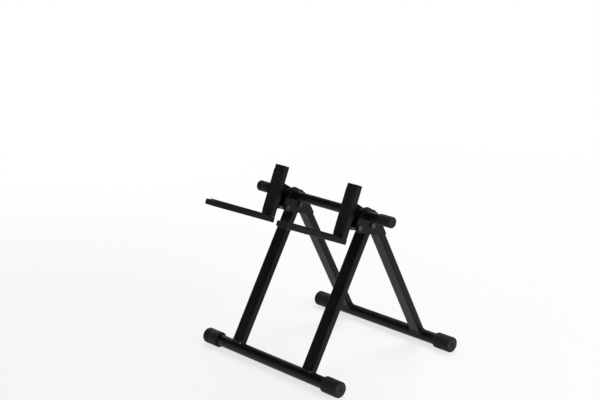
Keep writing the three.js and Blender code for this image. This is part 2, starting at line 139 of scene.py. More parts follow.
@dataclass(frozen=True)
class Plan:
    """Driving sizes of the whole stand, in metres and radians, and the places worked out from them."""

    foot_spread: float = 429 * MM
    foot_cap_diameter: float = 43 * MM
    leg_spacing: float = 278 * MM
    leg_depth: float = 20 * MM
    leg_width: float = 38 * MM
    corner: float = 3 * MM
    wall: float = 1.6 * MM
    front_lean: float = math.radians(30.7)
    rear_lean: float = math.radians(27.0)
    rear_leg_past_apex: float = 7 * MM
    folded_leg_gap: float = 2.5 * MM
    folded_cap_gap: float = 1.5 * MM
    cradle_ahead_of_apex: float = 35.4 * MM
    cradle_above_apex: float = 9.2 * MM
    cradle_tilt: float = math.radians(23.4)
    cradle_tube_diameter: float = 25.4 * MM
    stop_radius: float = 39 * MM
    stop_bearing: float = math.radians(227)
    rail_length: float = 225 * MM
    rail_depth: float = 15 * MM
    rail_below_axis: float = 74 * MM
    post_ahead: float = 40 * MM
    bolt_hole: float = 8.8 * MM

    @property
    def foot_z(self) -> float:
        """Height of the foot tubes' axes."""
        return self.foot_cap_diameter / 2

    @property
    def apex_rise(self) -> float:
        """Height of the point where the leg lines meet, above the foot tubes' axes."""
        return self.foot_spread / (math.tan(self.front_lean) + math.tan(self.rear_lean))

    @property
    def open_angle(self) -> float:
        """Angle between front and rear legs when the stand is open."""
        return self.front_lean + self.rear_lean

    @property
    def hinge_ahead(self) -> float:
        """Hinge bolt to the rear leg's centre line."""
        return self.leg_depth + self.folded_leg_gap

    @property
    def hinge_up_front_leg(self) -> float:
        """Foot tube's axis to the hinge bolt, along the front leg."""
        below_apex = self.hinge_ahead / math.sin(self.open_angle)
        return self.apex_rise / math.cos(self.front_lean) - below_apex

    @property
    def folded_angle(self) -> float:
        """Angle left between the legs when the stand is folded."""
        apart = self.foot_cap_diameter + self.folded_cap_gap - self.hinge_ahead
        return math.asin(apart / self.hinge_up_front_leg)

    @property
    def rear_leg_top(self) -> float:
        """Foot tube's axis to the rear leg's top end, along the leg."""
        return self.apex_rise / math.cos(self.rear_lean) + self.rear_leg_past_apex

    @property
    def shift(self) -> float:
        """From midway between the feet to the middle of the outline, along y.

        Returns:
            The distance, which every frame is moved by.
        """
        low = (-self.post_ahead - self.rail_length, -self.rail_below_axis - self.rail_depth)
        tip = self.cradle_between_feet.world(low)[0]
        return -(tip + (self.foot_spread + self.foot_cap_diameter) / 2) / 2

    @property
    def cradle_between_feet(self) -> Axes:
        """The cradle's axes with y measured from midway between the feet.

        Returns:
            The axes.
        """
        apex_y = self.foot_spread / 2 - self.apex_rise * math.tan(self.rear_lean)
        z = self.foot_z + self.apex_rise + self.cradle_above_apex
        return Axes(apex_y - self.cradle_ahead_of_apex, z, -self.cradle_tilt)

    @property
    def cradle(self) -> Axes:
        """The cradle's axes: z up the posts from the cradle tube."""
        axes = self.cradle_between_feet
        return Axes(axes.y + self.shift, axes.z, axes.turn)

    @property
    def rear(self) -> Axes:
        """The rear frame's axes: z up the legs from the foot tube."""
        return Axes(self.foot_spread / 2 + self.shift, self.foot_z, self.rear_lean)

    @property
    def front(self) -> Axes:
        """The front frame's axes: z up the legs from the foot tube."""
        return Axes(-self.foot_spread / 2 + self.shift, self.foot_z, -self.front_lean)

    @property
    def hinge(self) -> Plane:
        """The hinge bolts' axis."""
        return self.front.world((0, self.hinge_up_front_leg))

    @property
    def stop(self) -> Plane:
        """The stop bolts' axis."""
        y, z = (self.stop_radius * part(self.stop_bearing) for part in (math.cos, math.sin))
        return self.cradle.y + y, self.cradle.z + z

    def leg_x(self, side: Side) -> float:
        """Place across the stand of one side's legs, rail and post."""
        return side.value * self.leg_spacing / 2


PLAN = Plan()


# ---- making meshes -------------------------------------------------------------------------------


@dataclass
class Skin:
    """Vertices and faces of one piece while it is made, with how worn each vertex is and how much dust and
    painted light it carries.
    """

    points: list[Vector] = field(default_factory=list)
    faces: list[tuple[int, ...]] = field(default_factory=list)
    wear: list[float] = field(default_factory=list)
    soil: list[float] = field(default_factory=list)

    def add(self, point: Sequence[float], wear: float = 0.0, soil: float = 0.0) -> int:
        """Adds one vertex.

        Args:
            point: Its place.
            wear: How worn it is, 0 to 1.
            soil: How much dust and painted light it carries, 0 to 1.

        Returns:
            Its number.
        """
        self.points.append(Vector(point))
        self.wear.append(wear)
        self.soil.append(soil)
        return len(self.points) - 1

    def ring(self, points: Sequence[Sequence[float]], wear: Sequence[float] | float = 0.0,
             soil: float = 0.0) -> list[int]:
        """Adds a closed ring of vertices, with one wear for all or one for each, and gives their numbers."""
        worn = [wear] * len(points) if isinstance(wear, (int, float)) else wear
        return [self.add(p, w, soil) for p, w in zip(points, worn)]

    def bridge(self, a: Sequence[int], b: Sequence[int]) -> None:
        """Joins two rings of the same length with four-sided faces."""
        following = [*range(1, len(a)), 0]
        self.faces += [(a[i], a[j], b[j], b[i]) for i, j in enumerate(following)]

    def loft(self, rings: Sequence[Sequence[int]]) -> None:
        """Joins each ring to the next one."""
        for a, b in zip(rings, rings[1:]):
            self.bridge(a, b)

    def fan(self, ring: Sequence[int], centre: Sequence[float], wear: float = 0.0,
            soil: float = 0.0) -> None:
        """Closes a ring with triangles to one point."""
        middle = self.add(centre, wear, soil)
        self.faces += [(a, b, middle) for a, b in zip(ring, [*ring[1:], ring[0]])]

    def made(self, name: str, place: Matrix, crease: float = CREASE) -> bpy.types.Object:
        """Turns the skin into an object.

        Args:
            name: The piece's name.
            place: Its transform in the stand's frame.
            crease: Edges that turn more than this many degrees are sharp.

        Returns:
            The new object, linked to the scene.
        """
        mesh = bpy.data.meshes.new(name)
        mesh.from_pydata([tuple(place @ p) for p in self.points], [], self.faces)
        for label, values in (("wear", self.wear), ("soil", self.soil)):
            attribute = mesh.attributes.new(label, "FLOAT", "POINT")
            attribute.data.foreach_set("value", values)
        work = bmesh.new()
        work.from_mesh(mesh)
        bmesh.ops.recalc_face_normals(work, faces=work.faces)
        work.to_mesh(mesh)
        work.free()
        mesh.polygons.foreach_set("use_smooth", [True] * len(mesh.polygons))
        mesh.set_sharp_from_angle(angle=math.radians(crease))
        piece = bpy.data.objects.new(name, mesh)
        bpy.context.scene.collection.objects.link(piece)
        return piece


@dataclass(frozen=True)
class Turn:
    """One point of a turned profile: distance along x, radius, wear, and dust and painted light."""

    x: float
    r: float
    wear: float = 0.0
    soil: float = 0.0


def arc(x: float, r: float, fillet: float, start: float, end: float, steps: int = 5,
        wear: float = 0.0, soil: float = 0.0) -> list[Turn]:
    """Points of a rounded edge in a turned profile.

    Args:
        x: Centre of the rounding along the axis.
        r: Centre of the rounding across the axis.
        fillet: Its radius.
        start: First angle in degrees, from +x towards the outside.
        end: Last angle in degrees.
        steps: Number of steps.
        wear: Wear at the middle of the rounding.
        soil: Dust and painted light of all its points.

    Returns:
        The points in order.
    """
    points = []
    for i in range(steps + 1):
        share = i / steps
        angle = math.radians(start + (end - start) * share)
        points.append(Turn(x + fillet * math.cos(angle), r + fillet * math.sin(angle),
                           wear * math.sin(math.pi * share), soil))
    return points


def circle(steps: int) -> list[float]:
    """Angles in even steps round a full turn."""
    return [2 * math.pi * k / steps for k in range(steps)]


def turned(profile: Sequence[Turn], segments: int = 72, closed: bool = False) -> Skin:
    """Turns a profile about the x axis.

    Args:
        profile: Points from one end to the other; a radius of 0 at an end closes it there.
        segments: Steps round the axis.
        closed: True if the profile joins its own start, as a pipe's does.

    Returns:
        The skin.
    """
    skin = Skin()
    angles = circle(segments)
    rings: list[list[int] | Turn] = []
    for t in profile:
        if t.r == 0:
            rings.append(t)
        else:
            points = [(t.x, t.r * math.cos(a), t.r * math.sin(a)) for a in angles]
            rings.append(skin.ring(points, t.wear, t.soil))
    pairs = list(zip(rings, rings[1:]))
    if closed:
        pairs.append((rings[-1], rings[0]))
    for a, b in pairs:
        if isinstance(a, Turn):
            skin.fan(b, (a.x, 0, 0), a.wear, a.soil)
        elif isinstance(b, Turn):
            skin.fan(a, (b.x, 0, 0), b.wear, b.soil)
        else:
            skin.bridge(a, b)
    return skin


def pipe(outer: float, inner: float, length: float, segments: int = 72, ease: float = 0.3 * MM,
         wear: float = 1.0) -> Skin:
    """A round tube along x, centred on the origin, with eased and worn end edges.

    Args:
        outer: Its outside diameter.
        inner: Its bore.
        length: Its length.
        segments: Steps round the axis.
        ease: Width of its eased edges.
        wear: Wear of those edges.

    Returns:
        The skin.
    """
    x, big, small = length / 2, outer / 2, inner / 2
    band = min(2 * MM, length / 5)  # how far the wear reaches
    cut = [(band, small, 0.0), (ease, small, 0.0), (0.0, small + ease, wear),
           (0.0, big - ease, wear), (ease, big, wear), (band, big, 0.0)]
    start = [Turn(-x + inward, r, worn) for inward, r, worn in cut]
    end = [Turn(x - inward, r, worn) for inward, r, worn in reversed(cut)]
    return turned(start + end, segments, closed=True)


@dataclass(frozen=True)
class Outline:
    """A rounded rectangle in the x-y plane."""

    width: float  # along x
    depth: float  # along y
    radius: float
    steps: int = 5  # round each corner
    side_steps: int = 6  # extra points along each straight side
    least_radius: float = 0.4 * MM  # what its corners keep when it is drawn in

    def points(self, inset: float = 0.0) -> list[tuple[float, float]]:
        """The outline's points, counter-clockwise, drawn in by inset on every side."""
        return [(x, y) for x, y, _ in self.worn_points(inset)]

    def worn_points(self, inset: float = 0.0) -> list[tuple[float, float, float]]:
        """The same with a wear value.

        Args:
            inset: How far it is drawn in on every side.

        Returns:
            For each point its x and y, and a wear that is 1 on the corners and 0 on the flats.
        """
        radius = max(self.radius - inset, self.least_radius)
        half_x, half_y = self.width / 2 - inset, self.depth / 2 - inset
        corners = [(1, -1, -90), (1, 1, 0), (-1, 1, 90), (-1, -1, 180)]
        found: list[tuple[float, float, float]] = []
        for number, (sx, sy, start) in enumerate(corners):
            cx, cy = sx * (half_x - radius), sy * (half_y - radius)
            for i in range(self.steps + 1):
                angle = math.radians(start + 90 * i / self.steps)
                worn = math.sin(math.pi * i / self.steps)
                found.append((cx + radius * math.cos(angle), cy + radius * math.sin(angle), worn))
            nx, ny, begin = corners[(number + 1) % 4]
            angle = math.radians(begin)
            tx = nx * (half_x - radius) + radius * math.cos(angle)
            ty = ny * (half_y - radius) + radius * math.sin(angle)
            x, y, _ = found[-1]
            for i in range(1, self.side_steps + 1):
                share = i / (self.side_steps + 1)
                found.append((x + (tx - x) * share, y + (ty - y) * share, 0.0))
        return found


def flat_end(z: float) -> EndShape:
    """A tube end that is square to the tube."""
    return lambda _y: z


def box_tube(outline: Outline, wall: float, bottom: EndShape, top: EndShape,
             worn_bottom: bool = True, worn_top: bool = True) -> Skin:
    """A rectangular tube along z with shaped ends.

    Args:
        outline: The outside of its section.
        wall: Its wall thickness.
        bottom: Shape of its lower end.
        top: Shape of its upper end.
        worn_bottom: True if the lower edge is bare enough to wear.
        worn_top: True if the upper edge is.

    Returns:
        The skin.
    """
    skin = Skin()
    edge = 2.5 * MM  # how far the wear reaches
    outer = []
    for shape, offset, worn in ((bottom, 0.0, worn_bottom), (bottom, edge, False),
                                (top, -edge, False), (top, 0.0, worn_top)):
        section = outline.worn_points()
        points = [(x, y, shape(y) + offset) for x, y, _ in section]
        outer.append(skin.ring(points, [max(w, float(worn)) for _, _, w in section]))
    low, high = (skin.ring([(x, y, shape(y)) for x, y in outline.points(wall)]) for shape in (bottom, top))
    skin.loft([*outer, high, low, outer[0]])
    return skin


def tube_plug(outline: Outline, wall: float, flange: float = 3.5 * MM, stem: float = 14 * MM) -> Skin:
    """A moulded plug for a tube's end: a rounded flange from z = 0 up with a sunk panel, and a stem below.

    Args:
        outline: The outside of the tube's section.
        wall: The tube's wall thickness.
        flange: Height of the flange.
        stem: Length of the stem.

    Returns:
        The skin.
    """
    skin = Skin()
    slack, taper, lead = 0.35 * MM, 0.8 * MM, 1.5 * MM
    seat, ease, rim, sunk = 0.25 * MM, 0.9 * MM, 2.6 * MM, 0.5 * MM
    stations = [
        (wall + slack + taper, -stem, 0.0), (wall + slack, -stem + lead, 0.0), (wall + slack, 0.0, 0.0),
        (seat, 0.0, 0.0), (0.0, seat, 0.3), (0.0, flange - ease, 0.4),
        (ease * 0.3, flange - ease * 0.3, 1.0), (ease, flange, 0.6),
        (rim, flange, 0.0), (rim + sunk, flange - sunk, 0.0),
    ]
    rings = [skin.ring([(x, y, z) for x, y in outline.points(inset)], wear) for inset, z, wear in stations]
    skin.loft(rings)
    skin.fan(rings[0], (0, 0, -stem))
    skin.fan(rings[-1], (0, 0, flange - sunk))
    return skin


@dataclass(frozen=True)
class Bead:
    """A weld bead laid along a path."""

    radius: float = 2.1 * MM
    pitch: float = 2.6 * MM  # of its ripples
    ripple: float = 0.13  # their height as a share of the radius
    seed: int = 1
    chip: Vector | None = None  # a place on the path painted with a bright glint
    chip_reach: float = 1.3 * MM
    worn: float = 0.35
    wander: float = 0.05  # most that chance changes its size from one section to the next
    keep: float = 0.8  # how much of that change is carried on
    start: float = 0.55  # size of its ends as a share of the rest
    start_steps: int = 4  # sections over which they swell to full size
    around: int = 10

    def laid(self, path: Sequence[Vector], closed: bool) -> Skin:
        """Lays the bead.

        Args:
            path: The joint line, close enough together to follow it.
            closed: True if the line joins its own start.

        Returns:
            The skin.
        """
        line = self._spaced(path, closed)
        draw = random.Random(self.seed)
        skin = Skin()
        rings: list[list[int]] = []
        travelled, wobble = 0.0, 0.0
        for i, point in enumerate(line):
            before = line[i - 1] if closed or i else point
            after = line[(i + 1) % len(line)] if closed or i + 1 < len(line) else point
            along = (after - before).normalized()
            side = along.orthogonal() if not rings else side - along * side.dot(along)
            side = side.normalized()
            up = along.cross(side)
            travelled += (point - line[i - 1]).length if i else 0.0
            wobble = self.keep * wobble + draw.uniform(-self.wander, self.wander)
            swell = 1 + self.ripple * math.sin(2 * math.pi * travelled / self.pitch) + wobble
            if not closed:
                from_end = min(i, len(line) - 1 - i) / self.start_steps
                swell *= min(1.0, self.start + (1 - self.start) * from_end)
            r = self.radius * swell
            # rings at the glint spot get full wear, which the weld's finish paints as a bright glint
            in_glint_spot = self.chip is not None and (point - self.chip).length < self.chip_reach
            section = [point + r * (math.cos(a) * side + math.sin(a) * up) for a in circle(self.around)]
            rings.append(skin.ring(section, 1.0 if in_glint_spot else self.worn))
        skin.loft(rings)
        if closed:
            skin.bridge(rings[-1], self._matched(skin, rings[-1], rings[0]))
        else:
            skin.fan(rings[0], line[0])
            skin.fan(rings[-1], line[-1])
        return skin

    def _spaced(self, path: Sequence[Vector], closed: bool) -> list[Vector]:
        """Spaces a path's points evenly, at about a quarter of a ripple.

        Args:
            path: The joint line.
            closed: True if the line joins its own start.

        Returns:
            The new points.
        """
        points = [*path, path[0]] if closed else list(path)
        lengths = [(b - a).length for a, b in zip(points, points[1:])]
        total = sum(lengths)
        count = max(4, round(total / (self.pitch / 4)))
        found, at, done = [], 0, 0.0
        for k in range(count if closed else count + 1):
            wanted = total * k / count
            while at < len(lengths) - 1 and done + lengths[at] < wanted:
                done += lengths[at]
                at += 1
            share = (wanted - done) / lengths[at] if lengths[at] else 0.0
            found.append(points[at].lerp(points[at + 1], min(1.0, share)))
        return found

    @staticmethod
    def _matched(skin: Skin, last: Sequence[int], first: Sequence[int]) -> list[int]:
        """Turns the first ring so that it starts at the vertex nearest the last ring's first.

        Args:
            skin: The bead's skin.
            last: Its last ring.
            first: Its first ring.

        Returns:
            The first ring's vertices, in the order that meets the last ring's.
        """
        count = len(first)
        start = min(range(count), key=lambda k: (skin.points[first[k]] - skin.points[last[0]]).length)
        orders = [[first[(start + way * k) % count] for k in range(count)] for way in (1, -1)]
        return min(orders, key=lambda order: (skin.points[order[1]] - skin.points[last[1]]).length)


# ---- finishes ------------------------------------------------------------------------------------


class NodeSheet:
    """Adds nodes to one tree and joins them."""

    def __init__(self, tree: bpy.types.NodeTree) -> None:
        """Keeps the tree."""
        self.tree = tree

    def node(self, kind: str, inputs: dict[str | int, Feed] | None = None,
             **settings: object) -> bpy.types.Node:
        """Adds a node.

        Args:
            kind: The node's type name.
            inputs: Values or source sockets for its inputs, by name or number.
            **settings: Its own properties.

        Returns:
            The node.
        """
        made = self.tree.nodes.new(kind)
        for key, value in settings.items():
            setattr(made, key, value)
        for key, value in (inputs or {}).items():
            if isinstance(value, bpy.types.NodeSocket):
                self.tree.links.new(value, made.inputs[key])
            else:
                made.inputs[key].default_value = value
        return made

    def join(self, source: bpy.types.NodeSocket, target: bpy.types.NodeSocket) -> None:
        """Joins an output to an input."""
        self.tree.links.new(source, target)

    def noise(self, where: bpy.types.NodeSocket, scale: Feed, detail: float,
              roughness: float = 0.5) -> bpy.types.NodeSocket:
        """A noise pattern with values about 0.5."""
        values = {"Vector": where, "Scale": scale, "Detail": detail, "Roughness": roughness}
        return self.node("ShaderNodeTexNoise", values).outputs["Fac"]

    def ranged(self, value: bpy.types.NodeSocket, low: Feed, high: Feed, out_low: Feed = 0.0,
               out_high: Feed = 1.0, smooth: bool = False) -> bpy.types.NodeSocket:
        """The value carried from one range to another, held inside it."""
        values = {0: value, 1: low, 2: high, 3: out_low, 4: out_high}
        return self.node("ShaderNodeMapRange", values, interpolation_type=EASING[smooth]).outputs[0]

    def maths(self, how: str, a: Feed, b: Feed) -> bpy.types.NodeSocket:
        """One sum on two values."""
        return self.node("ShaderNodeMath", {0: a, 1: b}, operation=how).outputs[0]

    def times(self, a: Feed, b: Feed) -> bpy.types.NodeSocket:
        """The product of two values."""
        return self.maths("MULTIPLY", a, b)

    def blended(self, share: Feed, a: Feed, b: Feed) -> bpy.types.NodeSocket:
        """Colour a passing into colour b, each a colour or a socket."""
        a, b = ((*c, 1.0) if isinstance(c, tuple) else c for c in (a, b))
        return self.node("ShaderNodeMix", {0: share, 6: a, 7: b}, data_type="RGBA").outputs[2]


def emptied(owner: bpy.types.Material | bpy.types.World) -> NodeSheet:
    """Gives a material or a world a node tree with nothing in it.

    Args:
        owner: The material or world.

    Returns:
        The sheet of its tree.
    """
    owner.use_nodes = True
    owner.node_tree.nodes.clear()
    return NodeSheet(owner.node_tree)


class Effect(Enum):
    """Shared shader effects."""

    PEEL = "orange_peel"
    WEAR = "edge_wear"
    SCUFF = "fine_scuffs"
    GRAIN = "moulded_grain"


class EffectLibrary:
    """Builds each shared effect once as a node group and places it in materials."""

    def __init__(self) -> None:
        """Starts with no groups built."""
        self._built: dict[Effect, bpy.types.NodeTree] = {}

    def place(self, sheet: NodeSheet, effect: Effect, **values: float) -> bpy.types.Node:
        """Puts an effect into a material.

        Args:
            sheet: The material's sheet.
            effect: Which effect.
            **values: Its inputs.

        Returns:
            The group node.
        """
        if effect not in self._built:
            self._built[effect] = getattr(self, f"_{effect.value}")()
        return sheet.node("ShaderNodeGroup", values, node_tree=self._built[effect])

    @staticmethod
    def _started(effect: Effect, inputs: dict[str, float], outputs: Sequence[str]) -> tuple[
            NodeSheet, bpy.types.NodeOutputs, bpy.types.NodeInputs, bpy.types.NodeSocket]:
        """Starts a group.

        Args:
            effect: The effect it is for.
            inputs: Its inputs and their default values.
            outputs: Its outputs.

        Returns:
            Its sheet, its given values, its results, and the pieces' own coordinates.
        """
        tree = bpy.data.node_groups.new(effect.value, "ShaderNodeTree")
        for name, value in inputs.items():
            socket = tree.interface.new_socket(name, in_out="INPUT", socket_type="NodeSocketFloat")
            socket.default_value = value
        for name in outputs:
            tree.interface.new_socket(name, in_out="OUTPUT", socket_type="NodeSocketFloat")
        sheet = NodeSheet(tree)
        where = sheet.node("ShaderNodeTexCoord").outputs["Object"]
        return sheet, sheet.node("NodeGroupInput").outputs, sheet.node("NodeGroupOutput").inputs, where

    def _orange_peel(self) -> bpy.types.NodeTree:
        """The fine waviness of baked powder, and slow patches of more and less gloss.

        Returns:
            The group.
        """
        sheet, given, result, where = self._started(Effect.PEEL, {"Scale": 900.0}, ["Height", "Patches"])
        slow = sheet.noise(where, sheet.times(given["Scale"], 0.035), 4.0, 0.6)
        sheet.join(sheet.noise(where, given["Scale"], 2.0, 0.45), result["Height"])
        sheet.join(sheet.ranged(slow, 0.3, 0.7), result["Patches"])
        return sheet.tree

    def _edge_wear(self) -> bpy.types.NodeTree:
        """Where edges have rubbed: the mesh's own wear, broken up by noise; on the welds' glint spots it
        gives a painted glint.

        Returns:
            The group.
        """
        sheet, given, result, where = self._started(
            Effect.WEAR, {"Amount": 0.4, "Breakup": 260.0}, ["Mask"])
        worn = sheet.node("ShaderNodeAttribute", attribute_name="wear").outputs["Fac"]
        rough = sheet.noise(where, given["Breakup"], 5.0, 0.65)
        patchy = sheet.noise(where, sheet.times(given["Breakup"], 0.08), 2.0)
        uneven = sheet.maths("ADD", sheet.ranged(rough, 0.25, 0.75, -0.45, 0.45),
                             sheet.ranged(patchy, 0.3, 0.7, -0.35, 0.35))
        reach = sheet.times(worn, sheet.maths("ADD", worn, uneven))
        start = sheet.maths("SUBTRACT", 1.25, given["Amount"])
        mask = sheet.ranged(reach, start, sheet.maths("ADD", start, 0.25), smooth=True)
        sheet.join(mask, result["Mask"])
        return sheet.tree

    def _fine_scuffs(self) -> bpy.types.NodeTree:
        """Sparse thin rub marks in two directions.

        Returns:
            The group.
        """
        sheet, given, result, where = self._started(
            Effect.SCUFF, {"Scale": 60.0, "Amount": 0.3}, ["Mask"])
        marks = []
        for turn, stretch in (((0.3, 0.2, 0.5), (0.08, 1.0, 1.0)), ((0.9, -0.4, 1.3), (1.0, 0.1, 1.0))):
            way = sheet.node("ShaderNodeMapping", {"Vector": where, "Rotation": turn, "Scale": stretch})
            streak = sheet.noise(way.outputs[0], sheet.times(given["Scale"], 22.0), 2.0)
            marks.append(sheet.ranged(streak, 0.66, 0.72))
        area = sheet.ranged(sheet.noise(where, given["Scale"], 3.0), 0.5, 0.68)
        both = sheet.maths("MAXIMUM", *marks)
        sheet.join(sheet.times(sheet.times(both, area), given["Amount"]), result["Mask"])
        return sheet.tree

    def _moulded_grain(self) -> bpy.types.NodeTree:
        """The even texture of a spark-eroded mould, with paler specks, and the dust and painted light marked
        on the mesh.

        Returns:
            The group.
        """
        sheet, given, result, where = self._started(
            Effect.GRAIN, {"Scale": 1400.0}, ["Height", "Specks", "Soil"])
        cells = sheet.node("ShaderNodeTexVoronoi", {"Vector": where, "Scale": given["Scale"]},
                           feature="SMOOTH_F1")
        fine = sheet.noise(where, sheet.times(given["Scale"], 0.6), 3.0, 0.6)
        height = sheet.maths("ADD", sheet.times(cells.outputs["Distance"], 0.6), fine)
        marked = sheet.node("ShaderNodeAttribute", attribute_name="soil").outputs["Fac"]
        patchy = sheet.ranged(sheet.noise(where, 90.0, 5.0, 0.65), 0.25, 0.75, 0.3, 1.0)
        sheet.join(height, result["Height"])
        sheet.join(sheet.ranged(fine, 0.58, 0.72), result["Specks"])
        sheet.join(sheet.times(marked, patchy), result["Soil"])
        return sheet.tree


@dataclass(frozen=True)
class Finish:
    """What every finish has: a name, a colour, a gloss, the tint of its sheen and the record's slot."""

    name: str
    slot: Slot
    colour: Colour
    roughness: tuple[float, float]
    specular: float = 0.5
    sheen: Colour = (1.0, 0.93, 0.88)

    def started(self) -> tuple[bpy.types.Material, NodeSheet, bpy.types.Node]:
        """Starts a material.

        Returns:
            The material, its sheet, and its shader joined to its output.
        """
        material = bpy.data.materials.new(self.name)
        material.diffuse_color = (*self.colour, 1.0)
        sheet = emptied(material)
        shader = sheet.node("ShaderNodeBsdfPrincipled", {
            "Base Color": (*self.colour, 1.0), "Specular IOR Level": self.specular,
            "Specular Tint": (*self.sheen, 1.0)})
        sheet.join(shader.outputs[0], sheet.node("ShaderNodeOutputMaterial").inputs[0])
        return material, sheet, shader

    def material(self, effects: EffectLibrary) -> bpy.types.Material:
        """Builds the material. Each finish has its own way."""
        raise NotImplementedError

    @staticmethod
    def bumped(sheet: NodeSheet, shader: bpy.types.Node, height: bpy.types.NodeSocket, strength: float,
               depth: float) -> None:
        """Joins a height to the shader's normal."""
        bump = sheet.node("ShaderNodeBump", {"Height": height, "Strength": strength, "Distance": depth})
        sheet.join(bump.outputs[0], shader.inputs["Normal"])


@dataclass(frozen=True)
class PowderCoat(Finish):
    """Baked satin powder with orange peel, duller patches, scuffs and rubbed edges, and on the welds painted
    glint spots in the rubbed colour.
    """

    rubbed: Colour = (0.030, 0.028, 0.026)
    peel_scale: float = 850.0
    peel_depth: float = 0.05 * MM
    wear: float = 0.25
    scuffs: float = 0.45
    patch: float = 1.5

    def material(self, effects: EffectLibrary) -> bpy.types.Material:
        """Builds the material from the shared effects.

        Args:
            effects: The library that places them.

        Returns:
            The material.
        """
        material, sheet, shader = self.started()
        peel = effects.place(sheet, Effect.PEEL, Scale=self.peel_scale)
        wear = effects.place(sheet, Effect.WEAR, Amount=self.wear)
        scuff = effects.place(sheet, Effect.SCUFF, Amount=self.scuffs)
        lighter = tuple(c * self.patch for c in self.colour)
        coat = sheet.blended(peel.outputs["Patches"], self.colour, lighter)
        marked = sheet.blended(sheet.times(scuff.outputs["Mask"], 0.5), coat, self.rubbed)
        sheet.join(sheet.blended(wear.outputs["Mask"], marked, self.rubbed), shader.inputs["Base Color"])
        gloss = sheet.ranged(peel.outputs["Patches"], 0.0, 1.0, *self.roughness)
        duller = sheet.maths("ADD", gloss, sheet.times(scuff.outputs["Mask"], 0.3))
        sheet.join(duller, shader.inputs["Roughness"])
        self.bumped(sheet, shader, peel.outputs["Height"], 0.35, self.peel_depth)
        return material


@dataclass(frozen=True)
class Moulding(Finish):
    """Moulded rubber or plastic with an even grain, dust on a cap's side and painted light that makes a
    cap's end face paler.
    """

    speck: Colour = (0.022, 0.021, 0.020)
    # paler tone of dust, and of the painted light on a cap's end face
    dirt: Colour = (0.060, 0.055, 0.048)
    grain_scale: float = 1400.0
    grain_depth: float = 0.06 * MM
    wear: float = 0.3
    soiling: float = 0.6

    def material(self, effects: EffectLibrary) -> bpy.types.Material:
        """Builds the material from the shared effects.

        Args:
            effects: The library that places them.

        Returns:
            The material.
        """
        material, sheet, shader = self.started()
        grain = effects.place(sheet, Effect.GRAIN, Scale=self.grain_scale)
        wear = effects.place(sheet, Effect.WEAR, Amount=self.wear)
        specks, rubs = sheet.times(grain.outputs["Specks"], 0.55), sheet.times(wear.outputs["Mask"], 0.6)
        rubbed = sheet.blended(rubs, sheet.blended(specks, self.colour, self.speck), self.speck)
        # paler where the mesh marks dust and painted light: dust on a cap's side, a painted lighter end face
        with_dust_and_painted_light = sheet.blended(sheet.times(grain.outputs["Soil"], self.soiling), rubbed, self.dirt)
        sheet.join(with_dust_and_painted_light, shader.inputs["Base Color"])
        gloss = sheet.ranged(grain.outputs["Height"], 0.4, 1.1, *reversed(self.roughness))
        sheet.join(gloss, shader.inputs["Roughness"])
        self.bumped(sheet, shader, grain.outputs["Height"], 0.5, self.grain_depth)
        return material


@dataclass(frozen=True)
class Hardware(Finish):
    """Blackened steel, bright where its edges have rubbed, with fine tool marks."""

    bright: Colour = (0.42, 0.40, 0.38)
    wear: float = 0.5
    peel_depth: float = 0.02 * MM
    patch: float = 1.8

    def material(self, effects: EffectLibrary) -> bpy.types.Material:
        """Builds the material from the shared effects.

        Args:
            effects: The library that places them.

        Returns:
            The material.
        """
        material, sheet, shader = self.started()
        shader.inputs["Metallic"].default_value = 1.0
        wear = effects.place(sheet, Effect.WEAR, Amount=self.wear, Breakup=500.0)
        scuff = effects.place(sheet, Effect.SCUFF, Amount=0.8, Scale=140.0)
        peel = effects.place(sheet, Effect.PEEL, Scale=2200.0)
        lighter = tuple(c * self.patch for c in self.colour)
        patched = sheet.blended(peel.outputs["Patches"], self.colour, lighter)
        bare = sheet.maths("MAXIMUM", wear.outputs["Mask"], sheet.times(scuff.outputs["Mask"], 0.6))
        sheet.join(sheet.blended(bare, patched, self.bright), shader.inputs["Base Color"])
        gloss = sheet.ranged(peel.outputs["Patches"], 0.0, 1.0, *self.roughness)
        sheet.join(gloss, shader.inputs["Roughness"])
        self.bumped(sheet, shader, peel.outputs["Height"], 0.25, self.peel_depth)
        return material


class Finishes:
    """The stand's finishes, each built once."""

    COAT = PowderCoat("black_powder_coat", Slot.COAT, (0.0030, 0.0026, 0.0023), (0.30, 0.42), 0.16)
    # the weld's pale rubbed colour shows only on the glint spots, where it is a painted glint
    WELD = PowderCoat("coated_weld", Slot.COAT, COAT.colour, (0.22, 0.38), 0.40, rubbed=(0.42, 0.40, 0.38),
                      peel_scale=1300.0, peel_depth=0.12 * MM, wear=0.7, scuffs=0.1)
    RUBBER = Moulding("black_rubber", Slot.RUBBER, (0.0072, 0.0064, 0.0060), (0.52, 0.76), 0.17)
    PLASTIC = Moulding("black_plastic", Slot.PLASTIC, (0.0062, 0.0057, 0.0055), (0.42, 0.6), 0.20,
                       grain_scale=1900.0, grain_depth=0.04 * MM)
    STEEL = Hardware("blackened_steel", Slot.STEEL, (0.055, 0.053, 0.055), (0.28, 0.46))
    NYLON = Moulding("black_nylon", Slot.NYLON, (0.0120, 0.0115, 0.0115), (0.32, 0.48), 0.35,
                     grain_depth=0.02 * MM)

    def __init__(self) -> None:
        """Starts with no material built."""
        self._effects = EffectLibrary()
        self._built: dict[str, bpy.types.Material] = {}

    def of(self, finish: Finish) -> bpy.types.Material:
        """Gives a finish's material, built at its first use.

        Args:
            finish: The finish.

        Returns:
            Its material.
        """
        if finish.name not in self._built:
            self._built[finish.name] = finish.material(self._effects)
        return self._built[finish.name]


# ---- sub-assemblies ------------------------------------------------------------------------------


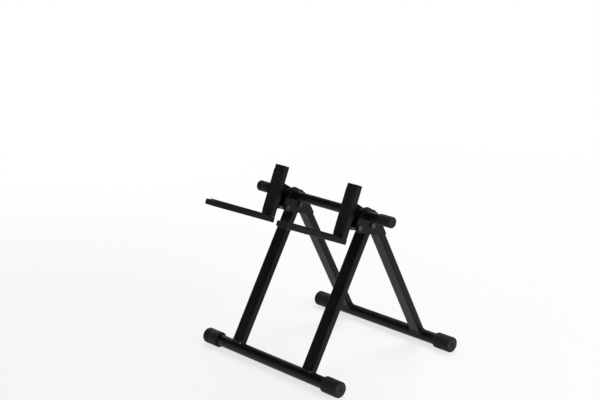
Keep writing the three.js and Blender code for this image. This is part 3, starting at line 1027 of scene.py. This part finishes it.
@dataclass
class Workshop:
    """Puts finished pieces into the scene in place of their nodes."""

    finishes: Finishes
    nodes: dict[str, bpy.types.Object]
    bead_crease: float = 80.0
    least_edge_turn: float = 50.0  # degrees; plate edges that turn more are eased
    merge_distance: float = 0.01 * MM

    def fit(self, skin: Skin, node: str, body: str, place: Matrix, finish: Finish,
            crease: float = CREASE) -> None:
        """Makes a piece that stands for one node.

        Args:
            skin: Its shape at the origin.
            node: The node it replaces.
            body: The body it rides on.
            place: Its transform in the stand's frame.
            finish: Its finish.
            crease: Edges that turn more than this many degrees are sharp.
        """
        piece = skin.made(f"{node}_finished", place, crease)
        piece.data.materials.append(self.finishes.of(finish))
        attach(piece, body)
        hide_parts(node)
        log.info("%s: %d faces, rides on %s", piece.name, len(piece.data.polygons), body)

    def weld(self, path: Sequence[Sequence[float]], name: str, body: str, place: Matrix,
             closed: bool = False, radius: float = Bead.radius, chip: Vector | None = None) -> None:
        """Lays a weld bead as a piece of its own.

        Args:
            path: The joint line in the sub-assembly's axes.
            name: The bead's name.
            body: The body it rides on.
            place: The axes' transform in the stand's frame.
            closed: True if the line joins its own start.
            radius: Radius of the bead.
            chip: A place on the line painted with a bright glint.
        """
        seed = sum(ord(letter) * (i + 1) for i, letter in enumerate(name))
        skin = Bead(radius=radius, seed=seed, chip=chip).laid([Vector(p) for p in path], closed)
        piece = skin.made(name, place, self.bead_crease)
        piece.data.materials.append(self.finishes.of(Finishes.WELD))
        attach(piece, body)
        log.info("%s: %d faces, rides on %s", piece.name, len(piece.data.polygons), body)

    def dress_plate(self, node: str, finish: Finish, edge: float = 0.5 * MM) -> None:
        """Eases a plate node's edges with modifiers and gives it its finish.

        Args:
            node: The node, which keeps its own mesh.
            finish: Its finish.
            edge: Width of the eased edges.
        """
        plate = self.nodes[node]
        weld = plate.modifiers.new("one_skin", "WELD")
        weld.merge_threshold = self.merge_distance
        bevel = plate.modifiers.new("eased_edges", "BEVEL")
        bevel.width = edge
        bevel.segments = 2
        bevel.limit_method = "ANGLE"
        bevel.angle_limit = math.radians(self.least_edge_turn)
        bevel.harden_normals = False
        plate.data.materials.clear()
        plate.data.materials.append(self.finishes.of(finish))
        log.info("%s: kept, with eased edges", node)


@dataclass
class Assembly:
    """What every sub-assembly has: the workshop that fits its pieces, and the body that they ride on."""

    shop: Workshop
    body: str


@dataclass
class CappedTube(Assembly):
    """A round cross tube with a rubber cap on each end."""

    prefix: str  # of its nodes' names
    axes: Axes  # their x axis is the tube's
    width: float = 526 * MM  # over the caps
    diameter: float = 32 * MM
    wall: float = 1.8 * MM
    cap_diameter: float = 43 * MM
    cap_length: float = 56 * MM
    cap_end: float = 7 * MM  # rubber beyond the tube's end
    cap_fillet: float = 3.2 * MM  # of a cap's closed end
    mouth_share: float = 0.85  # rounding of its open end, as a share of its wall
    dimple_share: float = 0.26  # radius of the dimple in its end, as a share of its own
    dimple_depth: float = 0.9 * MM
    line_share: float = 0.42  # from the closed end to the mould line, as a share of the length
    line_depth: float = 0.12 * MM
    line_reach: float = 0.4 * MM  # half the mould line's width
    soil: float = 0.15  # dust and painted light on a cap's side
    scuffed: float = 0.9  # painted light and dust on its end face, which is painted paler than its side

    def build(self) -> None:
        """Makes the tube and its two caps."""
        length = self.width - 2 * (self.cap_end + GAP)
        tube = pipe(self.diameter, self.diameter - 2 * self.wall, length, 96, wear=0.6)
        self.shop.fit(tube, f"{self.prefix}_tube", self.body, self.axes.matrix(), Finishes.COAT)
        for side in Side:
            place = self.axes.matrix(side.value * self.width / 2)
            if side is Side.LEFT:
                place = place @ Matrix.Rotation(math.pi, 4, "Z")
            node = f"{self.prefix}_cap_{side.word}"
            self.shop.fit(self._cap(), node, self.body, place, Finishes.RUBBER, crease=40.0)

    def _cap(self) -> Skin:
        """A rubber cup with a rounded mouth, a mould line and a dimpled end, closed at x = 0.

        Returns:
            The skin.
        """
        r, bore, fillet, band = self.cap_diameter / 2, self.diameter / 2 + GAP, self.cap_fillet, 4 * MM
        mouth, open_end = (r - bore) * self.mouth_share, -self.cap_length
        line, half_line = -self.cap_length * self.line_share, self.line_reach
        dimple, deep, scuffed, soil = r * self.dimple_share, -self.dimple_depth, self.scuffed, self.soil
        end = [  # x, radius, and dust and painted light across the closed end
            (deep, 0.0, scuffed / 3), (deep, dimple - 1.4 * MM, scuffed / 3),
            (deep + 0.25 * MM, dimple - 0.8 * MM, 0.0), (-0.2 * MM, dimple - 0.15 * MM, 0.0),
            (-0.02 * MM, dimple + 0.45 * MM, scuffed / 2), (0.0, dimple + 1.2 * MM, scuffed),
            (0.0, (dimple + r - fillet) / 2, scuffed), (0.0, r - fillet - 0.8 * MM, scuffed),
        ]
        side = [(line + half_line, r), (line, r - self.line_depth), (line - half_line, r),
                (open_end + mouth + band, r)]
        inside = [(open_end + 0.5 * MM, bore), (open_end + 3 * MM, bore), (-self.cap_end, bore),
                  (-self.cap_end, 0.0)]
        profile = [
            *(Turn(x, radius, 0.0, dirt) for x, radius, dirt in end),
            *arc(-fillet, r - fillet, fillet, 0, 90, 6, 0.4, soil),
            Turn(-fillet - band, r, 0.1, soil),
            *(Turn(x, radius, 0.0, soil) for x, radius in side),
            *arc(open_end + mouth, r - mouth, mouth, 90, 180, 8, 0.4, soil),
            *(Turn(x, radius) for x, radius in inside),
        ]
        return turned(profile, 96)


@dataclass
class Leg(Assembly):
    """A rectangular tube leg that sits on its foot tube, with the weld round it."""

    prefix: str  # of its nodes' names
    axes: Axes
    top: EndShape
    foot_radius: float = CappedTube.diameter / 2
    weld_out: float = 0.5 * MM  # weld's middle line outside the leg's faces
    weld_lift: float = 0.4 * MM  # and above the foot tube
    chip_across: float | None = None  # where across the leg its weld gets a painted glint, if it gets one

    @property
    def outline(self) -> Outline:
        """The tube's section."""
        return Outline(PLAN.leg_width, PLAN.leg_depth, PLAN.corner, side_steps=8)

    def build(self, side: Side) -> None:
        """Makes the leg on one side, and its weld bead.

        Args:
            side: The side.
        """
        saddle = self.foot_radius + GAP
        skin = box_tube(self.outline, PLAN.wall, lambda y: math.sqrt(saddle**2 - y**2), self.top,
                        worn_bottom=False)
        node, place = f"{self.prefix}_leg_{side.word}", self.axes.matrix(PLAN.leg_x(side))
        self.shop.fit(skin, node, self.body, place, Finishes.COAT, crease=28.0)
        path = [self._on_foot(x, y) for x, y in self.outline.points(-self.weld_out)]
        # a painted glint on the weld, at the leg's front face
        chip = None
        if self.chip_across is not None:
            chip = self._on_foot(self.chip_across, -PLAN.leg_depth / 2 - self.weld_out)
        self.shop.weld(path, f"{node}_weld", self.body, place, closed=True, chip=chip)

    def _on_foot(self, x: float, y: float) -> Vector:
        """The point of the weld's middle line above (x, y)."""
        return Vector((x, y, math.sqrt(self.foot_radius**2 - y**2) + self.weld_lift))


@dataclass
class HexBolt(Assembly):
    """An M8 hexagon bolt through two plates and its locking nut."""

    role: str  # as its nodes' names say
    at: Plane  # its axis in the rear frame's axes
    plate_offset: float  # from the leg's middle to a plate's outer face
    diameter: float = 8 * MM
    flats: float = 13 * MM
    head_height: float = 5.3 * MM
    nut_height: float = 6.5 * MM
    collar_height: float = 2.1 * MM  # of the nut's rolled top
    past_nut: float = 2 * MM
    before_nut: float = 2 * MM  # where the smooth shank ends
    thread_pitch: float = 1.25 * MM
    thread_depth: float = 0.55 * MM
    worn: float = 0.2
    steps: int = 48

    def build(self, side: Side) -> None:
        """Makes the bolt, head outwards, and the nut on the inner side.

        Args:
            side: The side of the stand.
        """
        head = self.plate_offset + GAP
        place = PLAN.rear.matrix(PLAN.leg_x(side), *self.at)
        if side is Side.LEFT:
            place = place @ Matrix.Rotation(math.pi, 4, "Z")
        for kind, skin in (("bolt", self._bolt(head)), ("nut", self._nut(-head))):
            node = f"{self.role}_{kind}_{side.word}"
            self.shop.fit(skin, node, self.body, place, Finishes.STEEL, crease=25.0)

    def _hexagon(self, skin: Skin, x: float, radius: float, wear: float = 0.0) -> list[int]:
        """Adds one ring round a hexagon's corners or, where radius is less, a circle inside its flats.

        Args:
            skin: The skin it is added to.
            x: Its place along the bolt.
            radius: Its largest radius.
            wear: Its wear.

        Returns:
            The ring.
        """
        points = []
        for a in circle(self.steps):
            from_flat = (a % (math.pi / 3)) - math.pi / 6
            r = min(radius, self.flats / 2 / math.cos(from_flat))
            points.append((x, r * math.cos(a), r * math.sin(a)))
        return skin.ring(points, wear)

    def _bolt(self, head: float) -> Skin:
        """The bolt with a chamfered head, a washer face under it and thread ridges at its end.

        Args:
            head: Where its head starts.

        Returns:
            The skin.
        """
        skin = Skin()
        flat, corner, r = self.flats / 2, self.flats / math.sqrt(3), self.diameter / 2
        washer, top = head + 0.35 * MM, head + self.head_height
        head_stations = [
            (head, flat * 0.93, 0.0), (washer, flat * 0.95, 0.4), (washer, corner * 0.985, 0.9),
            (head + 0.8 * MM, corner, 0.5), (top - 1.1 * MM, corner, 0.5),
            (top - 0.25 * MM, flat * 1.02, 0.9), (top, flat * 0.93, 0.4),
        ]
        rings = [self._hexagon(skin, *station) for station in head_stations]
        skin.loft(rings)
        skin.fan(rings[-1], (top, 0, 0))
        nut_end = -head - self.nut_height
        point = nut_end - self.past_nut
        shank = [(head, r), (-head + self.before_nut, r)]
        x = nut_end + 1.0 * MM
        while x > point + 1.2 * MM:
            shank += [(x, r - 0.02 * MM), (x - self.thread_pitch / 2, r - self.thread_depth)]
            x -= self.thread_pitch
        shank += [(point + 0.8 * MM, r - 0.1 * MM), (point, r - 0.9 * MM)]
        rings = [rings[0], *(self._hexagon(skin, sx, sr, self.worn) for sx, sr in shank)]
        skin.loft(rings)
        skin.fan(rings[-1], (point, 0, 0), 0.3)
        return skin

    def _nut(self, start: float) -> Skin:
        """The locking nut: chamfered hexagon with a rolled collar over its insert, bored through.

        Args:
            start: Where the nut starts, on the plate.

        Returns:
            The skin.
        """
        skin = Skin()
        flat, corner = self.flats / 2, self.flats / math.sqrt(3)
        bore, collar = self.diameter / 2 + GAP, flat * 0.9
        end, shoulder = start - self.nut_height, start - self.nut_height + self.collar_height
        stations = [
            (start, bore, 0.0), (start, flat * 0.95, 0.4), (start - 0.4 * MM, corner, 0.9),
            (shoulder + 0.7 * MM, corner, 0.5), (shoulder, flat * 0.99, 0.9),
            (shoulder - 0.1 * MM, collar, 0.1), (end + 0.6 * MM, collar, 0.2),
            (end + 0.1 * MM, collar - 0.5 * MM, 0.6), (end, collar - 1.2 * MM, 0.3),
            (end + 0.3 * MM, bore + 0.5 * MM, 0.0), (end + 0.3 * MM, bore, 0.0),
        ]
        rings = [self._hexagon(skin, *station) for station in stations]
        skin.loft([*rings, rings[0]])
        return skin


@dataclass
class RearFrame(Assembly):
    """The rear legs on their foot tube, with the plates that carry the hinge, the cradle and its stop."""

    body: str = "rear_frame"
    plate_thickness: float = 3 * MM
    plate_inner: float = 19.5 * MM  # from the leg's middle to a plate's inner face
    bush_wall: float = 1.6 * MM
    bush_proud: float = 1 * MM
    spacer_diameter: float = 14 * MM
    stitch: float = 22 * MM
    stitch_radius: float = 1.6 * MM
    stitch_starts: tuple[float, float] = (30 * MM, 70 * MM)  # below the leg's top end

    def build(self) -> None:
        """Makes every piece of the frame."""
        CappedTube(self.shop, self.body, "rear_foot", PLAN.rear).build()
        leg = Leg(self.shop, self.body, "rear", PLAN.rear, flat_end(PLAN.rear_leg_top))
        plug = tube_plug(leg.outline, PLAN.wall)
        plate_outer = self.plate_inner + self.plate_thickness
        bolts = [HexBolt(self.shop, self.body, role, PLAN.rear.local(axis), plate_outer)
                 for role, axis in (("hinge", PLAN.hinge), ("stop", PLAN.stop))]
        for side in Side:
            leg.build(side)
            plug_place = PLAN.rear.matrix(PLAN.leg_x(side), 0, PLAN.rear_leg_top + GAP)
            self.shop.fit(plug, f"rear_leg_plug_{side.word}", self.body, plug_place, Finishes.PLASTIC)
            for bolt in bolts:
                bolt.build(side)
            self._spacer(side)
            for edge, sign in (("outer", side.value), ("inner", -side.value)):
                name = f"{side.word}_{edge}"
                self.shop.dress_plate(f"cheek_{name}", Finishes.COAT)
                self._bush(name, PLAN.leg_x(side), sign)
                self._plate_welds(name, PLAN.leg_x(side), sign)

    def _spacer(self, side: Side) -> None:
        """Makes the spacer that the cradle's ear comes down on.

        Args:
            side: Its side of the stand.
        """
        skin = pipe(self.spacer_diameter, PLAN.bolt_hole, 2 * (self.plate_inner - GAP), 48, 0.5 * MM)
        place = PLAN.rear.matrix(PLAN.leg_x(side), *PLAN.rear.local(PLAN.stop))
        self.shop.fit(skin, f"stop_spacer_{side.word}", self.body, place, Finishes.STEEL)

    def _bush(self, name: str, x: float, sign: int) -> None:
        """Makes the nylon bush in one plate.

        Args:
            name: The plate, as the bush's node names it.
            x: The leg's middle.
            sign: Way from there to the plate.
        """
        inner = PLAN.cradle_tube_diameter + 2 * GAP
        outer = PLAN.cradle_tube_diameter + 2 * (self.bush_wall + GAP)
        skin = pipe(outer, inner, self.plate_thickness + 2 * self.bush_proud, ease=0.25 * MM, wear=0.3)
        offset = self.plate_inner + self.plate_thickness / 2 + self.bush_proud / 2
        place = PLAN.rear.matrix(x + sign * offset, *PLAN.rear.local((PLAN.cradle.y, PLAN.cradle.z)))
        self.shop.fit(skin, f"cradle_bush_{name}", self.body, place, Finishes.NYLON)

    def _plate_welds(self, name: str, x: float, sign: int) -> None:
        """Makes two stitches along the back of the leg where a plate's edge meets it.

        Args:
            name: The plate, as its node names it.
            x: The leg's middle.
            sign: Way from there to the plate.
        """
        across, back = x + sign * (PLAN.leg_width / 2 + 0.1 * MM), PLAN.leg_depth / 2 - 0.9 * MM
        for number, below in enumerate(self.stitch_starts, 1):
            start = PLAN.rear_leg_top - below
            path = [(across, back, start), (across, back, start + self.stitch)]
            self.shop.weld(path, f"cheek_{name}_weld_{number}", self.body, PLAN.rear.matrix(),
                           radius=self.stitch_radius)


@dataclass
class FrontFrame(Assembly):
    """The front legs on their foot tube, which fold back about the hinge bolts."""

    body: str = "front_frame"
    nose_reach: float = 20.5 * MM
    sleeve_diameter: float = 12 * MM
    # where across each front leg its weld gets a painted glint
    chip_across: float = 16.2 * MM
    fold_steps: int = 16

    def build(self) -> None:
        """Makes every piece of the frame."""
        CappedTube(self.shop, self.body, "front_foot", PLAN.front).build()
        leg = Leg(self.shop, self.body, "front", PLAN.front, self._top, chip_across=self.chip_across)
        sleeve = pipe(self.sleeve_diameter, PLAN.bolt_hole, PLAN.leg_width - 2 * PLAN.wall - GAP, 36)
        for side in Side:
            leg.build(side)
            place = PLAN.front.matrix(PLAN.leg_x(side), 0, PLAN.hinge_up_front_leg)
            self.shop.fit(sleeve, f"hinge_sleeve_{side.word}", self.body, place, Finishes.STEEL)

    def _top(self, y: float) -> float:
        """Shapes the leg's cut end: clear of the rear leg all through the fold, with its nose trimmed.

        Args:
            y: A place across the leg.

        Returns:
            The cut end's height there.
        """
        rear_face = PLAN.hinge_ahead - PLAN.leg_depth / 2 - GAP
        travel = PLAN.open_angle - PLAN.folded_angle
        angles = [PLAN.open_angle - travel * i / self.fold_steps for i in range(self.fold_steps + 1)]
        tops = [(rear_face - y * math.cos(a)) / math.sin(a) for a in angles]
        nose_y = -PLAN.leg_depth / 2
        nose_z = (rear_face - nose_y * math.cos(PLAN.open_angle)) / math.sin(PLAN.open_angle)
        nose = math.atan2(nose_z, nose_y)
        tops.append((self.nose_reach - y * math.cos(nose)) / math.sin(nose))
        return PLAN.hinge_up_front_leg + min(tops)


@dataclass
class Cradle(Assembly):
    """The L-shaped arms on their capped cross tube, which carry the load and fold up."""

    body: str = "cradle"
    width: float = 510 * MM
    tube_wall: float = 1.6 * MM
    cap_diameter: float = 30 * MM
    cap_length: float = 44 * MM
    cap_end: float = 5 * MM
    cap_fillet: float = 2.8 * MM
    rail_wall: float = 1.5 * MM
    post_length: float = 138 * MM
    post_weld_out: float = 0.3 * MM
    post_weld_lift: float = 0.4 * MM
    post_weld_radius: float = 1.7 * MM
    post_weld_end: float = 6 * MM  # short of the post's back
    flange: float = 3.5 * MM
    pad_thickness: float = 2.5 * MM
    pad_width: float = 32 * MM
    pad_ribs: int = 7
    pad_groove: float = 0.7 * MM
    rail_pad_inset: float = 12 * MM
    post_pad_inset: float = 10 * MM
    ear_thickness: float = 6 * MM
    ear_edge: float = 0.7 * MM
    ear_weld: tuple[float, float] = (-27 * MM, 20 * MM)
    ear_weld_radius: float = 1.8 * MM

    def build(self) -> None:
        """Makes every piece of the cradle."""
        CappedTube(
            self.shop, self.body, "cradle", PLAN.cradle, self.width, PLAN.cradle_tube_diameter,
            self.tube_wall, self.cap_diameter, self.cap_length, self.cap_end, self.cap_fillet,
            soil=0.08, scuffed=0.5,
        ).build()
        for side in Side:
            self._rail(side)
            self._post(side)
            self._pads(side)
            self._ear(side)

    def _rail(self, side: Side) -> None:
        """Makes one rail with its two end plugs.

        Args:
            side: Its side of the stand.
        """
        outline = Outline(PLAN.leg_width, PLAN.rail_depth, PLAN.corner)
        x, z = PLAN.leg_x(side), -PLAN.rail_below_axis - PLAN.rail_depth / 2
        front, back = -PLAN.post_ahead - PLAN.rail_length + self.flange, -PLAN.post_ahead - self.flange
        length = PLAN.rail_length - 2 * (self.flange + GAP)
        skin = box_tube(outline, self.rail_wall, flat_end(0), flat_end(length), False, False)
        place = PLAN.cradle.matrix(x, front + GAP, z) @ Matrix.Rotation(-math.pi / 2, 4, "X")
        self.shop.fit(skin, f"rail_{side.word}", self.body, place, Finishes.COAT)
        plug = tube_plug(outline, self.rail_wall, self.flange)
        for end, y, turn in (("front", front, math.pi / 2), ("back", back, -math.pi / 2)):
            place = PLAN.cradle.matrix(x, y, z) @ Matrix.Rotation(turn, 4, "X")
            self.shop.fit(plug, f"rail_plug_{side.word}_{end}", self.body, place, Finishes.PLASTIC)

    def _post(self, side: Side) -> None:
        """Makes one post with its plug, and the weld round its foot on the rail.

        Args:
            side: Its side of the stand.
        """
        outline = Outline(PLAN.leg_width, PLAN.leg_depth, PLAN.corner)
        y, z = -PLAN.post_ahead - PLAN.leg_depth / 2, -PLAN.rail_below_axis + GAP
        foot = PLAN.cradle.matrix(PLAN.leg_x(side), y, z)
        skin = box_tube(outline, PLAN.wall, flat_end(0), flat_end(self.post_length), False, False)
        self.shop.fit(skin, f"post_{side.word}", self.body, foot, Finishes.COAT)
        plug_place = PLAN.cradle.matrix(PLAN.leg_x(side), y, z + self.post_length + GAP)
        self.shop.fit(tube_plug(outline, PLAN.wall, self.flange), f"post_plug_{side.word}", self.body,
                      plug_place, Finishes.PLASTIC)
        half_x, half_y = (size / 2 + self.post_weld_out for size in (PLAN.leg_width, PLAN.leg_depth))
        half = [(half_x, PLAN.leg_depth / 2 - self.post_weld_end), (half_x, -half_y + PLAN.corner),
                (half_x - PLAN.corner, -half_y)]
        round_foot = half + [(-px, py) for px, py in reversed(half)]
        path = [(px, py, self.post_weld_lift) for px, py in round_foot]
        self.shop.weld(path, f"post_{side.word}_weld", self.body, foot, radius=self.post_weld_radius)

    def _pads(self, side: Side) -> None:
        """Makes the ribbed rubber strips on the rail and on the post.

        Args:
            side: Their side of the stand.
        """
        x, rail_top = PLAN.leg_x(side), -PLAN.rail_below_axis + GAP
        facing = Matrix.Rotation(math.pi, 4, "Z")
        start = -PLAN.post_ahead - PLAN.rail_length + self.rail_pad_inset
        lying = PLAN.cradle.matrix(x, start, rail_top) @ Matrix.Rotation(-math.pi / 2, 4, "X") @ facing
        length = PLAN.rail_length - PLAN.leg_depth - 2 * self.rail_pad_inset
        self.shop.fit(self._pad(length), f"rail_pad_{side.word}", self.body, lying, Finishes.RUBBER)
        front = -PLAN.post_ahead - PLAN.leg_depth - GAP
        standing = PLAN.cradle.matrix(x, front, rail_top + self.post_pad_inset) @ facing
        length = self.post_length - 2 * self.post_pad_inset
        self.shop.fit(self._pad(length), f"post_pad_{side.word}", self.body, standing, Finishes.RUBBER)

    def _pad(self, length: float) -> Skin:
        """A strip along z from 0 with its back at y = 0 and ribs along its face.

        Args:
            length: Its length.

        Returns:
            The skin.
        """
        skin = Skin()
        half, face, margin = self.pad_width / 2, self.pad_thickness, 2 * MM
        pitch = (self.pad_width - 2 * margin) / self.pad_ribs
        edge = [(half, 0, 0), (half, face - 0.9 * MM, 0.2), (half - 0.3 * MM, face - 0.3 * MM, 0.8),
                (half - 0.9 * MM, face, 0.5)]
        section: list[tuple[float, float, float]] = [(-px, py, worn) for px, py, worn in edge]
        for k in range(self.pad_ribs):
            left = -half + margin + k * pitch
            right = left + pitch
            section += [(left + 0.5 * MM, face, 0.3), (left + 0.9 * MM, face - self.pad_groove, 0.0),
                        (right - 0.9 * MM, face - self.pad_groove, 0.0), (right - 0.5 * MM, face, 0.3)]
        section += reversed(edge)
        start = [(0.0, 0.8 * MM), (0.25 * MM, 0.25 * MM), (0.8 * MM, 0.0)]
        end = [(length - z, drop) for z, drop in reversed(start)]
        rings = []
        for z, drop in start + end:
            points = [(px, min(py, face - drop), z) for px, py, _ in section]
            rings.append(skin.ring(points, [max(worn, 0.6 * (drop > 0)) for _, _, worn in section]))
        skin.loft(rings)
        skin.faces += [tuple(reversed(rings[0])), tuple(rings[-1])]
        return skin

    def _ear(self, side: Side) -> None:
        """Dresses one ear, and makes its welds to the post and round the cross tube.

        Args:
            side: Its side of the stand.
        """
        shop, place = self.shop, PLAN.cradle.matrix(PLAN.leg_x(side))
        shop.dress_plate(f"ear_{side.word}", Finishes.COAT, self.ear_edge)
        radius = PLAN.cradle_tube_diameter / 2 + 0.6 * MM
        back = -PLAN.post_ahead + 0.5 * MM
        for face, sign in (("outer", side.value), ("inner", -side.value)):
            across = sign * (self.ear_thickness / 2 + 0.3 * MM)
            path = [(across, back, z) for z in self.ear_weld]
            shop.weld(path, f"ear_{side.word}_{face}_post_weld", self.body, place)
            loop = [(across, radius * math.cos(a), radius * math.sin(a)) for a in circle(64)]
            shop.weld(loop, f"ear_{side.word}_{face}_tube_weld", self.body, place, closed=True,
                      radius=self.ear_weld_radius)


# ---- studio --------------------------------------------------------------------------------------


@dataclass(frozen=True)
class Softbox:
    """A soft rectangular lamp aimed at the stand."""

    name: str
    at: tuple[float, float, float]
    size: tuple[float, float]
    watts: float
    aim: tuple[float, float, float] = (0.0, 0.0, 0.25)

    def hang(self) -> None:
        """Adds the lamp."""
        data = bpy.data.lights.new(self.name, "AREA")
        data.shape = "RECTANGLE"
        data.size, data.size_y = self.size
        data.energy = self.watts
        lamp = bpy.data.objects.new(self.name, data)
        bpy.context.scene.collection.objects.link(lamp)
        lamp.location = self.at
        direction = Vector(self.aim) - Vector(self.at)
        lamp.rotation_mode = "QUATERNION"
        lamp.rotation_quaternion = direction.to_track_quat("-Z", "Y")


@dataclass(frozen=True)
class Viewpoint:
    """The camera that the photograph was taken from, fitted to the stand's edges."""

    at: tuple[float, float, float] = (2.4675, -2.3529, 1.4100)
    azimuth: float = 47.26  # degrees round the stand, 0 looking along +Y
    elevation: float = 16.02
    roll: float = -0.60  # degrees about its line of sight
    lens: float = 79.73  # millimetres, as the sensor's width
    sensor: float = 36.0
    clip: tuple[float, float] = (0.05, 200.0)

    def place(self) -> None:
        """Adds the camera and makes it the scene's."""
        data = bpy.data.cameras.new("camera")
        data.lens, data.sensor_width = self.lens, self.sensor
        data.clip_start, data.clip_end = self.clip
        camera = bpy.data.objects.new("camera", data)
        bpy.context.scene.collection.objects.link(camera)
        a, e, r = (math.radians(v) for v in (self.azimuth, self.elevation, self.roll))
        back = Vector((math.sin(a) * math.cos(e), -math.cos(a) * math.cos(e), math.sin(e)))
        level = Vector((math.cos(a), math.sin(a), 0.0))
        up = back.cross(level)
        right = math.cos(r) * level + math.sin(r) * up
        up = back.cross(right)
        turn = Matrix((right, up, back)).transposed().to_4x4()
        camera.matrix_world = Matrix.Translation(self.at) @ turn
        bpy.context.scene.camera = camera


@dataclass
class Studio:
    """A white floor under a white horizon, with soft lamps above."""

    floor_rings: tuple[float, ...] = (0.5, 1.5, 4.0, 12.0, 60.0)
    floor_colour: Colour = (0.90, 0.90, 0.90)
    floor_mottle: float = 0.985  # its darkest patches, as a share of that colour
    glow: tuple[float, float] = (0.72, 1.0)  # share of plain white near the stand, and far from it
    glow_reach: tuple[float, float] = (0.7, 2.6)  # where near ends and where far starts
    horizon: float = 1.0
    overhead: float = 0.02
    ceiling: tuple[float, float] = (0.10, 0.36)  # slope of a direction where the dark starts, and is full
    lamps: tuple[Softbox, ...] = (
        Softbox("softbox_above", (-0.5, 1.6, 2.9), (2.6, 1.8), 75.0),
        Softbox("softbox_right", (2.6, 0.1, 1.8), (1.4, 1.4), 42.0),
        Softbox("softbox_front", (0.3, -2.0, 2.3), (1.8, 1.0), 12.0),
        Softbox("softbox_left", (-2.6, 0.9, 0.9), (1.2, 1.0), 14.0),
    )

    def build(self) -> None:
        """Sets up floor, world and lamps."""
        bpy.context.scene.view_settings.view_transform = "Standard"
        self._floor()
        self._world()
        for lamp in self.lamps:
            lamp.hang()

    def _floor(self) -> None:
        """A round floor."""
        skin = Skin()
        rings = []
        for radius in self.floor_rings:
            rings.append(skin.ring([(radius * math.cos(a), radius * math.sin(a), 0.0) for a in circle(64)]))
        skin.fan(rings[0], (0, 0, 0))
        skin.loft(rings)
        floor = skin.made("floor", Matrix.Identity(4))
        floor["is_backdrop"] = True
        floor.data.materials.append(self._floor_material())

    def _floor_material(self) -> bpy.types.Material:
        """The floor's colour, which stays white to the eye and in reflections, and keeps its shadows.

        Returns:
            The material.
        """
        material = bpy.data.materials.new("white_floor")
        sheet = emptied(material)
        where = sheet.node("ShaderNodeTexCoord").outputs["Object"]
        patches = tuple(c * self.floor_mottle for c in self.floor_colour)
        shade = sheet.blended(sheet.noise(where, 3.0, 2.0), patches, self.floor_colour)
        lit = sheet.node("ShaderNodeBsdfDiffuse", {"Color": shade})
        white = sheet.node("ShaderNodeEmission", {"Color": (1, 1, 1, 1), "Strength": 1.0})
        path = sheet.node("ShaderNodeLightPath").outputs
        seen = sheet.maths("MAXIMUM", path["Is Camera Ray"], path["Is Glossy Ray"])
        seen = sheet.maths("MAXIMUM", seen, path["Is Transmission Ray"])
        away = sheet.node("ShaderNodeVectorMath", {0: where}, operation="LENGTH").outputs["Value"]
        share = sheet.times(seen, sheet.ranged(away, *self.glow_reach, *self.glow, smooth=True))
        mix = sheet.node("ShaderNodeMixShader", {0: share, 1: lit.outputs[0], 2: white.outputs[0]})
        sheet.join(mix.outputs[0], sheet.node("ShaderNodeOutputMaterial").inputs[0])
        return material

    def _world(self) -> None:
        """White all round the horizon, and darker overhead, as a white cove under a dark ceiling is."""
        world = bpy.data.worlds.new("white_cove")
        bpy.context.scene.world = world
        sheet = emptied(world)
        where = sheet.node("ShaderNodeTexCoord").outputs["Generated"]
        up = sheet.node("ShaderNodeSeparateXYZ", {0: where}).outputs[2]
        level = sheet.ranged(up, *self.ceiling, self.horizon, self.overhead, smooth=True)
        background = sheet.node("ShaderNodeBackground", {"Color": (1, 1, 1, 1), "Strength": level})
        sheet.join(background.outputs[0], sheet.node("ShaderNodeOutputWorld").inputs[0])


def corners() -> list[list[float]]:
    """The shown object's lowest and highest corners."""
    return [list(corner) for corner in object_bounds()]


def main() -> None:
    """Builds the stand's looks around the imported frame, in order."""
    logging.basicConfig(level=logging.INFO, format="%(message)s")
    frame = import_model()
    Viewpoint().place()
    Studio().build()
    shop = Workshop(Finishes(), frame["nodes"])
    for assembly in (RearFrame(shop), FrontFrame(shop), Cradle(shop)):
        log.info("building %s", type(assembly).__name__)
        assembly.build()


if __name__ == "__main__":
    main()
